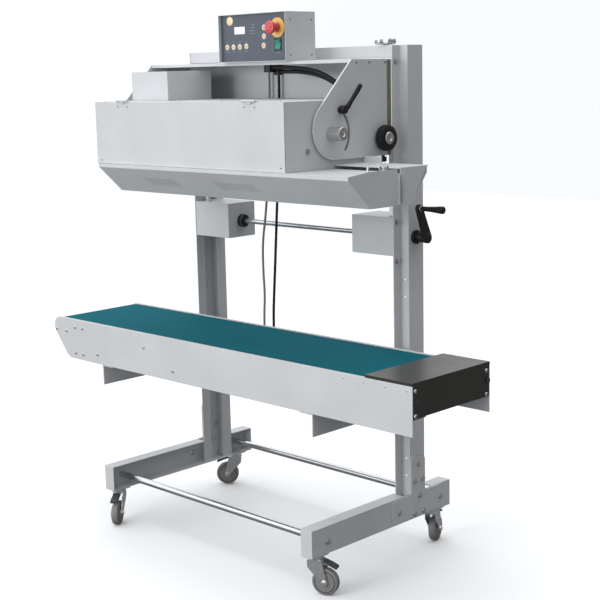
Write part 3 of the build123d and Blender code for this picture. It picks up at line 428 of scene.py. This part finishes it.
# ---- bolts and screws of the stand and conveyor
GUSSET_BOLTS = [(158, 268), (143, 221), (178, 221), (164, 174), (74, 144), (142, 124), (181, 124)]
PANEL_SCREWS = [
    (-726, 589), (-676, 589), (-630, 605), (-591, 605), (-630, 523), (-591, 523), (-518, 533),
    (-289, 586), (-158, 534), (511, 618), (580, 617), (651, 617), (720, 617),
]
bm = bmesh.new()
for side in (-1, 1):
    for y, z in GUSSET_BOLTS + [(256, 147)]:
        hex_bolt(bm, (FRAME_X + side * FOOT_FACE, y, z), (side, 0, 0), 12, 17)
    hex_bolt(bm, (FRAME_X + side * FOOT_WEB, -219, 143), (side, 0, 0), 13, 19)
    for y, z in GUSSET_BOLTS:
        inner = COLUMN_INNER if 131 < y < 190 and z > 150 else FOOT_INNER
        hex_bolt(bm, (FRAME_X + side * inner, y, z), (-side, 0, 0), 12, 17)
for x, z in PANEL_SCREWS:
    tiny = x > 500
    radius = 2.4 if tiny else 4.8
    socket_screw(bm, (x, CONVEYOR_FRONT, z), (0, -1, 0), radius, 1.2 if tiny else 3.4)
    socket_screw(bm, (x, CONVEYOR_BACK, z), (0, 1, 0), radius, 1.2 if tiny else 3.4)
for y, z in ((-260, 617), (24, 617), (-260, 555), (24, 555)):
    socket_screw(bm, (CONVEYOR_END, y, z), (1, 0, 0), 5.4, 3.6)
for y, z in ((-255, 587), (30, 590)):
    add_lathe(bm, (CONVEYOR_END, y, z), (1, 0, 0), [(8.5, 0), (8.5, 2.6), (6.8, 3.8), (0, 3.9)], 24, 1,
              lobes=12, depth=0.7)
finish_piece("frame_fixings", bm, [BRIGHT, DARK_PLASTIC_AND_SOCKET_SHADE], "frame", replace=("frame_bolts",))

bm = bmesh.new()
for z in (1400, 964, 855):
    hex_bolt(bm, (FRAME_X + 416, 114, z), (1, 0, 0), 11, 15)
    hex_bolt(bm, (FRAME_X - 416, 114, z), (-1, 0, 0), 11, 15)
finish_piece("lip_bolts", bm, [PLATED], "frame")

# ---- castors
for word, (x, y, yaw) in CASTORS.items():
    turn = math.radians(yaw)
    along = Vector((math.cos(turn), math.sin(turn), 0))
    across = Vector((-along.y, along.x, 0))
    axle = Vector((x, y, WHEEL_R)) + along * 28
    bm = bmesh.new()
    add_lathe(bm, axle - across * 11, across,
              [(31.0, 0.0), (33.6, 0.2), (36.0, 1.6), (37.1, 4.0), (37.5, 8.0), (37.5, 14.0),
               (37.1, 18.0), (36.0, 20.4),
               (33.6, 21.8), (31.0, 22.0)], 56, 0)
    add_lathe(bm, axle - across * 13.8, across,
              [(4.1, 0), (9.0, 0), (9.0, 3.4), (24.5, 4.4), (25.6, 3.2), (25.6, 24.4), (24.5, 23.2),
               (9.0, 24.2),
               (9.0, 27.6), (4.1, 27.6)], 48, 1)
    add_lathe(bm, axle - across * 13.8, across,
              [(25.5, 3.0), (29.6, 2.6), (31.1, 3.0), (31.1, 24.6), (29.6, 25.0),
                                                (25.5, 24.6)], 48, 2)
    finish_piece("wheel_" + word, bm, [MATS["castor_tread"], HUB, RING], "castor_wheel_" + word,
                 replace=("castor_wheel_" + word,))
    bm = bmesh.new()
    for turn_side in (-1, 1):
        start = axle + across * turn_side * 17.1
        add_lathe(bm, start, across * turn_side, [(7.5, 0), (7.5, 0.8), (5.2, 0.9)], 24)
        add_lathe(bm, start, across * turn_side, [(5.6, 0.8), (5.6, 3.6), (4.6, 4.4), (0, 4.5)], 6)
    add_lathe(bm, (x, y, 101.1), (0, 0, -1), [(19.5, -0.2), (20.8, 0.8), (20.8, 2.4), (18.0, 4.6)], 40)
    finish_piece("fork_fittings_" + word, bm, [MATS["zinc"]], "castor_fork_" + word)
    bm = bmesh.new()
    pedal = [(24, 98.5), (46, 91.5), (63, 83), (63, 77), (45, 85), (24, 93)]
    ends = []
    for reach in (-11.6, 11.6):
        ring = [Vector((x, y, height)) + along * out + across * reach for out, height in pedal]
        ends.append([bm.verts.new(corner) for corner in ring])
    for ring in ends:
        bm.faces.new(ring)
    for step in range(len(pedal)):
        after = (step + 1) % len(pedal)
        bm.faces.new((ends[0][step], ends[0][after], ends[1][after], ends[1][step]))
    finish_piece("brake_pedal_" + word, bm, [PEDAL], "castor_fork_" + word, bevel=1.4)
    rounded("castor_fork_" + word, "castor_fork_" + word, bevel=0.7)
rounded("castor_plates", "frame", bevel=0.6)

# ---- control box front
YELLOW = plastic("stop_ring_yellow", (0.78, 0.46, 0.12), 0.4, coat=0.2)
DISPLAY = plastic("display_white", (0.86, 0.83, 0.86), 0.25, coat=0.3)
GOLD = metal("badge_disc", (0.80, 0.66, 0.42), 0.4)
COVER_STEEL = metal("cover_steel", (0.086, 0.083, 0.076), 0.36, stretch=(0.02, 1.0, 1.0), grain=900.0)
OLIVE = plastic("olive_strip", (0.17, 0.17, 0.10), 0.55)
rounded("drive_end_cover", "frame", bevel=0.9, material=COVER_STEEL)
bm = bmesh.new()
add_box(bm, (ARM_OUT, ARM_OUT + 1.2), (81, 95), (1152, 1404))
finish_piece("arm_edge_strip", bm, [OLIVE], "carriage")
bm = bmesh.new()
add_lathe(bm, (359, 66, 1150), (0, 0, -1),
          [(5, -1), (5, 3), (10, 3.2), (10.5, 6), (10.5, 14), (9, 17), (0, 17)], 32)
finish_piece("arm_stop_pad", bm, [MATS["black_plastic"]], "carriage")
bm = bmesh.new()
for y in (-40, 10, 74):
    socket_screw(bm, (ARM_OUT, y, 1398), (1, 0, 0), 2.6, 1.0)
for x in (352, 300, 180):
    socket_screw(bm, (x - 6, 88, 1407), (0, 0, 1), 2.6, 1.0)
finish_piece("carriage_screws", bm, [DARK_PLASTIC_AND_SOCKET_SHADE, DARK_PLASTIC_AND_SOCKET_SHADE], "carriage")
bm = bmesh.new()
add_lathe(bm, (395, *SHAFT), (1, 0, 0), [(19.3, 0), (19.3, 7.4), (18.3, 8.3), (8.2, 8.4)], 40)
add_lathe(bm, (-310, *SHAFT), (1, 0, 0), [(20.3, 0), (20.3, 13.2), (19, 14.2), (8.2, 14.3)], 40)
finish_piece("bearing_collars", bm, [MATS["black_plastic"]], "frame")
bm = bmesh.new()
for y in (-131.4, -118.0):
    add_box(bm, (575.8, 585.0), (y, y + 1.4), (1045, 1124))
finish_piece("slit_lips", bm, [MATS["grey_paint"]], "sealing_head", bevel=0.4)
bm = bmesh.new()
add_lathe(bm, (531, -190, 1127), (0, 0, 1),
          [(5, 0), (5, 1.5), (3.6, 2), (3.6, 13), (2.6, 14.4), (0, 14.6)], 24)
finish_piece("shelf_pin", bm, [MATS["chrome"]], "sealing_head")
bm = bmesh.new()
plate = [(-125, 1409), (141, 1409), (141, 1538), (-125, 1538)]
add_prism(bm, plate, "Y", (PANEL_Y, PANEL_Y + 2))
finish_piece("panel_sheet", bm, [MATS["slate_panel"]], "carriage", replace=("control_panel",))
bm = bmesh.new()
add_lathe(bm, (ESTOP[0], PANEL_Y, ESTOP[1]), (0, -1, 0),
          [(27, 0), (27, 2.4), (25.6, 3.6), (12.0, 3.9), (11.2, 3.0)], 48)
finish_piece("stop_ring", bm, [YELLOW], "carriage")
KEYS = [(-101, 1450), (-75, 1450), (-49, 1450), (-22, 1451), (51, 1500), (50, 1476), (48, 1451)]
bm = bmesh.new()
for x, z in KEYS:
    add_lathe(bm, (x, PANEL_Y, z), (0, -1, 0), [(8.0, 0), (8.0, 0.5), (6.8, 1.0), (0, 1.2)], 32)
    add_box(bm, (x - 2.6, x + 2.6), (PANEL_Y - 1.30, PANEL_Y - 1.1), (z - 0.7, z + 0.7), 2)
add_box(bm, (-69, -26), (PANEL_Y - 1.0, PANEL_Y), (1485, 1505), 1)
finish_piece("keys_and_display", bm, [MATS["key_cream"], DISPLAY, DARK_PLASTIC_AND_SOCKET_SHADE], "carriage",
             replace=("keypad_and_display",))
bm = bmesh.new()
for x, z, w in ((-101, 1437, 9), (-75, 1437, 7), (-49, 1437, 5), (-22, 1437, 8), (-101, 1464, 3),
                (-75, 1464, 3),
                (-49, 1464, 3), (-22, 1464, 3), (5, 1501, 10), (3, 1493, 12), (4, 1485, 10), (7, 1509, 7),
                (104, 1431, 9)):
    add_box(bm, (x - w, x + w), (PANEL_Y - 0.2, PANEL_Y), (z - 0.7, z + 0.7), 0)
add_lathe(bm, (-88, PANEL_Y, 1522), (0, -1, 0), [(12.5, 0), (12.5, 0.5), (11.2, 0.8), (0, 0.8)], 40, 1)
finish_piece("panel_print", bm, [WHITE_PRINT, GOLD], "carriage")
bm = bmesh.new()
add_lathe(bm, (ESTOP[0], PANEL_Y + 20, ESTOP[1]), (0, -1, 0),
          [(11, 0), (11, 36), (12.0, 40), (15.8, 44), (17.5, 47), (17.5, 52), (16.3, 55), (13.0, 56),
           (0, 56)], 48)
for quarter in range(3):
    a = 2 * math.pi * quarter / 3
    cx, cz = ESTOP[0] + 10 * math.cos(a), ESTOP[1] + 10 * math.sin(a)
    mark = [(cx - 2.6, cz - 1.4), (cx + 2.6, cz - 1.4), (cx, cz + 2.8)]
    add_prism(bm, mark, "Y", (PANEL_Y - 36.0, PANEL_Y - 35.9), 1)
finish_piece("stop_button", bm, [MATS["red_button"], WHITE_PRINT], "emergency_stop",
             replace=("emergency_stop_button",))
bm = bmesh.new()
for turn_side in (-1, 1):
    add_box(bm, (SWITCH[0] + turn_side * 11, SWITCH[0] + turn_side * 13), (PANEL_Y - 2.2, PANEL_Y),
            (SWITCH[1] - 16.5, SWITCH[1] + 16.5))
    add_box(bm, (SWITCH[0] - 11, SWITCH[0] + 11), (PANEL_Y - 2.2, PANEL_Y),
            (SWITCH[1] + turn_side * 15, SWITCH[1] + turn_side * 16.5))
finish_piece("switch_bezel", bm, [DARK_PLASTIC_AND_SOCKET_SHADE], "carriage", bevel=0.4)
bm = bmesh.new()
rocker = [(PANEL_Y + 6, 1439.6), (PANEL_Y - 3.6, 1440.4), (PANEL_Y - 1.4, 1452), (PANEL_Y - 4.6, 1463.6),
          (PANEL_Y + 6, 1464.4)]
add_prism(bm, rocker, "X", (SWITCH[0] - 10.6, SWITCH[0] + 10.6))
finish_piece("switch_rocker", bm, [MATS["green_switch"]], "power_switch", bevel=0.8,
             replace=("power_switch",))
bm = bmesh.new()
for z in (1519, 1424):
    for y in (-62, 20):
        socket_screw(bm, (143, y, z), (1, 0, 0), 3.4, 1.4)
        socket_screw(bm, (-127, y, z), (-1, 0, 0), 3.4, 1.4)
finish_piece("box_screws", bm, [PLATED, DARK_PLASTIC_AND_SOCKET_SHADE], "carriage")

# ---- head: screws and louvres
bm = bmesh.new()
for x in (-318, -276, 208, 248):
    socket_screw(bm, (x, COVER_FACE, 1291.5), (0, -1, 0), 3.2, 1.2)
for x, z in ((-405, 1138), (338, 1140)):
    socket_screw(bm, (x, COVER_FACE, z), (0, -1, 0), 3.2, 1.2)
finish_piece("cover_screws", bm, [PLATED, DARK_PLASTIC_AND_SOCKET_SHADE], "front_cover")
bm = bmesh.new()
hex_bolt(bm, (HOUSE_RIGHT, -220, 1176), (1, 0, 0), 10, 15)
for x, y in ((-395, -190), (-250, -190), (-225, -120), (-395, -290), (-60, -290), (110, -290), (330, -290)):
    socket_screw(bm, (x, y, HOUSE_TOP), (0, 0, 1), 3.4, 1.4)
finish_piece("housing_screws", bm, [PLATED, DARK_PLASTIC_AND_SOCKET_SHADE], "sealing_head")

louvre_mat = painted("louvre_shadow", (0.33, 0.34, 0.35), 0.5)
bm = bmesh.new()
slope = Vector((80.0, -75.0))
slope.normalize()
for x0, x1 in ((-243, -109), (57, 210)):
    rows = 7
    for row in range(rows):
        t = 39 + row * 4.6
        y = -312 + slope.x * t
        z = 1118 + slope.y * t
        shift = row * 3.0
        out = Vector((0, slope.y, -slope.x)) * 0.9
        corners = [(x0 + shift, y, z), (x1 + shift, y, z), (x1 + shift, y + slope.x * 2.4, z + slope.y * 2.4),
                   (x0 + shift, y + slope.x * 2.4, z + slope.y * 2.4)]
        base = [bm.verts.new(Vector(c)) for c in corners]
        lip = [bm.verts.new(Vector(corners[2]) + out), bm.verts.new(Vector(corners[3]) + out)]
        bm.faces.new((base[0], base[1], lip[0], lip[1]))
        bm.faces.new((base[2], base[3], lip[1], lip[0]))
        bm.faces.new((base[1], base[2], lip[0]))
        bm.faces.new((base[3], base[0], lip[1]))
        bm.faces.new((base[0], base[3], base[2], base[1]))
finish_piece("tray_louvres", bm, [louvre_mat], "sealing_head")

# ---- pivot pins, lever, handwheel and crank
SATIN = metal("satin_pin", (0.62, 0.61, 0.60), 0.30, stretch=(1, 1, 1), grain=300.0)
bm = bmesh.new()
add_lathe(bm, (HOUSE_RIGHT, *PIVOT), (1, 0, 0),
          [(18, 0), (18, 52.6), (16.8, 54), (7, 54), (5, 51.5), (0, 51.5)], 56)
add_lathe(bm, (-426, *PIVOT), (-1, 0, 0), [(18, 0), (18, 42), (17, 43), (0, 43)], 56)
add_lathe(bm, (HOUSE_RIGHT, *STUD), (1, 0, 0), [(4, 0), (4, 17), (3, 18), (0, 18)], 20)
finish_piece("pivot_pin_set", bm, [SATIN], "sealing_head", replace=("pivot_pins",))

bm = bmesh.new()
add_lathe(bm, (ARM_OUT + 0.5, *STUD), (1, 0, 0),
          [(8.5, 0), (11, 4), (11, 18), (9.6, 21), (5, 21.5), (0, 21.0)], 36)
add_tube(bm, [(ARM_OUT + 12, STUD[0] + 2, STUD[1] + 2), (ARM_OUT + 15, STUD[0] + 14, STUD[1] + 7),
              (ARM_OUT + 21, STUD[0] + 22, STUD[1] + 22), (ARM_OUT + 31, STUD[0] + 34, STUD[1] + 47),
              (ARM_OUT + 36, STUD[0] + 41, STUD[1] + 62), (ARM_OUT + 37, STUD[0] + 42.5, STUD[1] + 65)],
         [7.5, 7.2, 5.6, 6.4, 6.2, 2.5], 20)
finish_piece("clamp_handle", bm, [MATS["black_plastic"]], "clamp_lever",
             replace=("clamp_lever",))

bm = bmesh.new()
add_lathe(bm, (352, *KNOB), (1, 0, 0), [(6, 0), (6, 20)], 24, 1)
add_lathe(bm, (ARM_OUT + 4, *KNOB), (1, 0, 0),
          [(20, 0), (31, 1.0), (34.6, 4.5), (35, 8), (35, 19), (34, 22.5), (30.5, 24.6), (22, 25),
           (19, 22), (18, 19)],
          72, 0, lobes=24, depth=0.9)
add_lathe(bm, (ARM_OUT + 20, *KNOB), (1, 0, 0),
          [(17, 0), (17, 9.0), (15.6, 10.6), (8, 11), (6, 8.8), (0, 8.8)], 40, 1)
finish_piece("handwheel", bm, [MATS["black_plastic"], SATIN], "side_handwheel",
             replace=("side_handwheel",))

bm = bmesh.new()
start, end = Vector((0, *SHAFT)), Vector((0, *CRANK_END))
along = (end - start).normalized()
across = Vector((0, -along.z, along.y))
outline = []
for step in range(17):
    a = math.pi * (0.5 + step / 16)
    outline.append(start + along * 15 * math.cos(a) + across * 15 * math.sin(a))
for step in range(17):
    a = math.pi * (-0.5 + step / 16)
    outline.append(end + along * 11 * math.cos(a) + across * 11 * math.sin(a))
add_prism(bm, [(p.y, p.z) for p in outline], "X", (CRANK_X + 0.5, CRANK_X + 10.5))
add_lathe(bm, (CRANK_X - 22, *SHAFT), (1, 0, 0),
          [(12.5, 0), (14, 1.5), (14, 33), (11, 35), (6, 35), (5, 34), (0, 34)], 36)
add_lathe(bm, (CRANK_X + 10.5, *CRANK_END), (1, 0, 0),
          [(8, 0), (8, 4.4), (6.4, 5.2), (4, 5.2), (4, 77)], 28, 1)
for turn_side in (-1, 1):
    add_lathe(bm, (CRANK_X - 12, SHAFT[0], SHAFT[1] + turn_side * 13.4), (0, 0, turn_side),
              [(3, 0), (3, 0.9), (0, 0.9)], 6, 1)
finish_piece("crank_handle", bm, [MATS["black_plastic"], MATS["chrome"]], "crank", bevel=1.2,
             replace=("crank_arm",))
bm = bmesh.new()
add_lathe(bm, (CRANK_X + 16.4, *CRANK_END), (1, 0, 0),
          [(4.1, 0), (6.6, 0.2), (7.2, 1.4), (6.8, 8), (6.6, 16), (7.4, 32), (8.8, 50), (10.2, 64),
           (10.5, 69), (9.6, 73),
           (7.2, 74.8), (4.1, 75)], 40)
finish_piece("crank_grip_turned", bm, [MATS["black_plastic"]], "crank_grip",
             replace=("crank_grip",))

bm = bmesh.new()
add_lathe(bm, (*STAR, 1431), (0, 0, 1), [(4, 0), (4, 13)], 20)
add_lathe(bm, (*STAR, 1443.4), (0, 0, 1),
          [(9, 0), (9, 1), (14, 1.6), (26, 2.2), (29.4, 4.5), (30, 8.5), (29.4, 15), (26, 19),
           (13, 20), (9, 20.4), (0, 20.6)],
          72, 0, lobes=6, depth=7.0)
finish_piece("star_knob", bm, [MATS["chrome"]], "top_knob", smooth=50, replace=("top_knob",))

bm = bmesh.new()
add_lathe(bm, (*WING, 1113), (0, 0, 1), [(3, 0), (3, 15)], 20)
add_lathe(bm, (*WING, 1127.4), (0, 0, 1), [(7, 0), (7, 2.5), (6, 6), (5.4, 11), (4.4, 14), (0, 14.6)], 28)
for turn_side in (-1, 1):
    wing_edge = ((2, 1131), (7, 1131), (15, 1135), (18, 1140), (17, 1144), (13, 1144), (8, 1140), (2, 1138))
    wing = [(WING[1] + turn_side * a, b) for a, b in wing_edge]
    add_prism(bm, wing, "X", (556.2, 559.8))
finish_piece("wing_screw", bm, [MATS["chrome"]], "wing_bolt", bevel=0.5, replace=("wing_bolt",))

# ---- cables
GREY_ROUTE = [
    (-84, 75, 1392), (-84, 75, 1335), (-87, 75, 1245), (-94, 76, 1150), (-102, 75, 1058), (-113, 75, 965),
    (-130, 74, 876), (-132, 75, 790), (-127, 75, 710), (-133, 75, 654), (-133, 75, 606),
]
BLACK_ROUTE = [
    (-44, 75, 1392), (-44, 75, 1335), (-47, 75, 1245), (-52, 76, 1150), (-59, 75, 1058), (-66, 74, 965),
    (-74, 75, 876), (-82, 76, 790), (-88, 75, 710), (-92, 75, 654), (-92, 75, 606),
]
HEAD_ROUTES = [
    [(52, -44, 1391), (100, -44, 1391), (158, -43, 1388), (210, -42, 1381), (254, -41, 1367),
     (286, -40, 1350), (316, -40, 1337), (346, -40, 1337)],
    [(66, -26, 1379), (110, -26, 1379), (165, -25, 1376), (215, -24, 1367), (256, -24, 1352),
     (287, -24, 1334), (316, -24, 1320), (346, -24, 1320)],
]


def cable(name, points, radius, mat):
    curve = bpy.data.curves.new(name, "CURVE")
    curve.dimensions = "3D"
    spline = curve.splines.new("NURBS")
    spline.points.add(len(points) - 1)
    for place, (x, y, z) in enumerate(points):
        spline.points[place].co = (x * MM, y * MM, z * MM, 1)
    spline.order_u = 3
    spline.use_endpoint_u = True
    curve.bevel_depth = radius * MM
    curve.bevel_resolution = 6
    curve.resolution_u = 16
    curve.use_fill_caps = True
    curve.materials.append(mat)
    obj = bpy.data.objects.new(name, curve)
    bpy.context.scene.collection.objects.link(obj)
    return obj


def line_length(obj):
    """Length of a curve's own line, in metres."""
    depth = obj.data.bevel_depth
    obj.data.bevel_depth = 0.0
    line = bpy.data.meshes.new_from_object(obj)
    obj.data.bevel_depth = depth
    spots = [vert.co for vert in line.vertices]
    total = sum((spots[e.vertices[0]] - spots[e.vertices[1]]).length for e in line.edges)
    bpy.data.meshes.remove(line)
    return total


def line_points(obj):
    depth = obj.data.bevel_depth
    obj.data.bevel_depth = 0.0
    line = bpy.data.meshes.new_from_object(obj)
    obj.data.bevel_depth = depth
    points = [v.co.copy() for v in line.vertices]
    bpy.data.meshes.remove(line)
    return points


LEADS = [
    ("sensor_lead", "sensor_cable", GREY_ROUTE, 3.5, "grey_cable"),
    ("power_lead", "power_cable", BLACK_ROUTE, 4.0, "black_cable"),
    ("head_lead_1", "head_cables", HEAD_ROUTES[0], 5.5, "black_cable"),
    ("head_lead_2", "head_cables", HEAD_ROUTES[1], 5.5, "black_cable"),
]
for name, node, points, radius, slot in LEADS:
    guide = cable(name + "_guide", points, radius, MATS[slot])
    route = line_points(guide)
    length = line_length(guide)
    bpy.data.objects.remove(guide)
    bm = bmesh.new()
    add_tube(bm, [p / MM for p in route], [radius] * len(route), 20)
    hanging = node != "head_cables"
    lead = finish_piece(name, bm, [MATS[slot]], None if hanging else "carriage", smooth=60,
                        replace=(node,))
    if hanging:
        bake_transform(lead)

# ---- stage, light and camera


def sheet_floor():
    mesh = bpy.data.meshes.new("studio_floor")
    bm = bmesh.new()
    size = 9.0
    corners = [bm.verts.new(p)
               for p in ((-size, -size, 0), (size, -size, 0), (size, size, 0), (-size, size, 0))]
    bm.faces.new(corners)
    bm.to_mesh(mesh)
    bm.free()
    obj = bpy.data.objects.new("studio_floor", mesh)
    bpy.context.scene.collection.objects.link(obj)
    mat, nodes, links, shader = new_material("studio_floor")
    slow = noise(nodes, links, object_coords(nodes, links, (1, 1, 1)), 0.6, 2.0)
    pale = ramp(nodes, links, slow, [(0.3, (0.93, 0.93, 0.93)), (0.7, (0.95, 0.95, 0.95))])
    seen = nodes.new("ShaderNodeLightPath")
    blend = nodes.new("ShaderNodeMix")
    blend.data_type = "RGBA"
    blend.inputs["A"].default_value = (0.20, 0.20, 0.20, 1)
    links.new(seen.outputs["Is Camera Ray"], blend.inputs["Factor"])
    links.new(pale, blend.inputs["B"])
    links.new(blend.outputs["Result"], shader.inputs["Base Color"])
    shader.inputs["Roughness"].default_value = 0.75
    shader.inputs["Specular IOR Level"].default_value = 0.2
    mesh.materials.append(mat)


sheet_floor()

world = bpy.data.worlds.new("studio")
world.use_nodes = True
wall_nodes = world.node_tree.nodes
wall_links = world.node_tree.links
around = wall_nodes.new("ShaderNodeTexCoord")
lean = wall_nodes.new("ShaderNodeVectorMath")
lean.operation = "DOT_PRODUCT"
lean.inputs[1].default_value = (-0.60, -0.28, 0.52)
wall_links.new(around.outputs["Generated"], lean.inputs[0])
level_node = wall_nodes.new("ShaderNodeMath")
level_node.operation = "ADD"
level_node.inputs[1].default_value = 0.78
wall_links.new(lean.outputs["Value"], level_node.inputs[0])
floor_level = wall_nodes.new("ShaderNodeMath")
floor_level.operation = "MAXIMUM"
floor_level.inputs[1].default_value = 0.04
wall_links.new(level_node.outputs["Value"], floor_level.inputs[0])
seen = wall_nodes.new("ShaderNodeLightPath")
backdrop = wall_nodes.new("ShaderNodeMath")
backdrop.operation = "MAXIMUM"
wall_links.new(floor_level.outputs["Value"], backdrop.inputs[0])
wall_links.new(seen.outputs["Is Camera Ray"], backdrop.inputs[1])
wall_nodes["Background"].inputs["Color"].default_value = (0.955, 0.975, 1.0, 1)
wall_links.new(backdrop.outputs["Value"], wall_nodes["Background"].inputs["Strength"])
bpy.context.scene.world = world


def area(name, place, target, size, power, colour=(1, 1, 1)):
    lamp = bpy.data.lights.new(name, "AREA")
    lamp.shape = "RECTANGLE"
    lamp.size, lamp.size_y = size
    lamp.energy = power
    lamp.color = colour
    obj = bpy.data.objects.new(name, lamp)
    obj.location = place
    obj.rotation_euler = (Vector(target) - Vector(place)).to_track_quat("-Z", "Y").to_euler()
    bpy.context.scene.collection.objects.link(obj)


area("key", (-0.3, -3.9, 1.62), (0, 0, 1.25), (1.8, 0.9), 46)
area("top", (0.2, 0.4, 3.8), (0, 0, 0.9), (2.6, 2.6), 24)

AZ = math.radians(44.747)
PITCH = math.radians(10.105)
ROLL = math.radians(-1.268)
FOCAL_PX = 1279.1
ahead = Vector((-math.sin(AZ) * math.cos(PITCH), math.cos(AZ) * math.cos(PITCH), -math.sin(PITCH)))
level = Vector((math.cos(AZ), math.sin(AZ), 0))
above = level.cross(ahead)
right = level * math.cos(ROLL) + above * math.sin(ROLL)
up = -level * math.sin(ROLL) + above * math.cos(ROLL)
camera = bpy.data.cameras.new("camera")
camera.sensor_width = 36.0
camera.lens = 36.0 * FOCAL_PX / 600.0
camera_obj = bpy.data.objects.new("camera", camera)
camera_obj.matrix_world = Matrix((
    (right.x, up.x, -ahead.x, 2.6409), (right.y, up.y, -ahead.y, -2.5671), (right.z, up.z, -ahead.z, 1.3771),
    (0, 0, 0, 1)))
bpy.context.scene.collection.objects.link(camera_obj)
bpy.context.scene.camera = camera_obj
bpy.context.scene.view_settings.view_transform = "Standard"
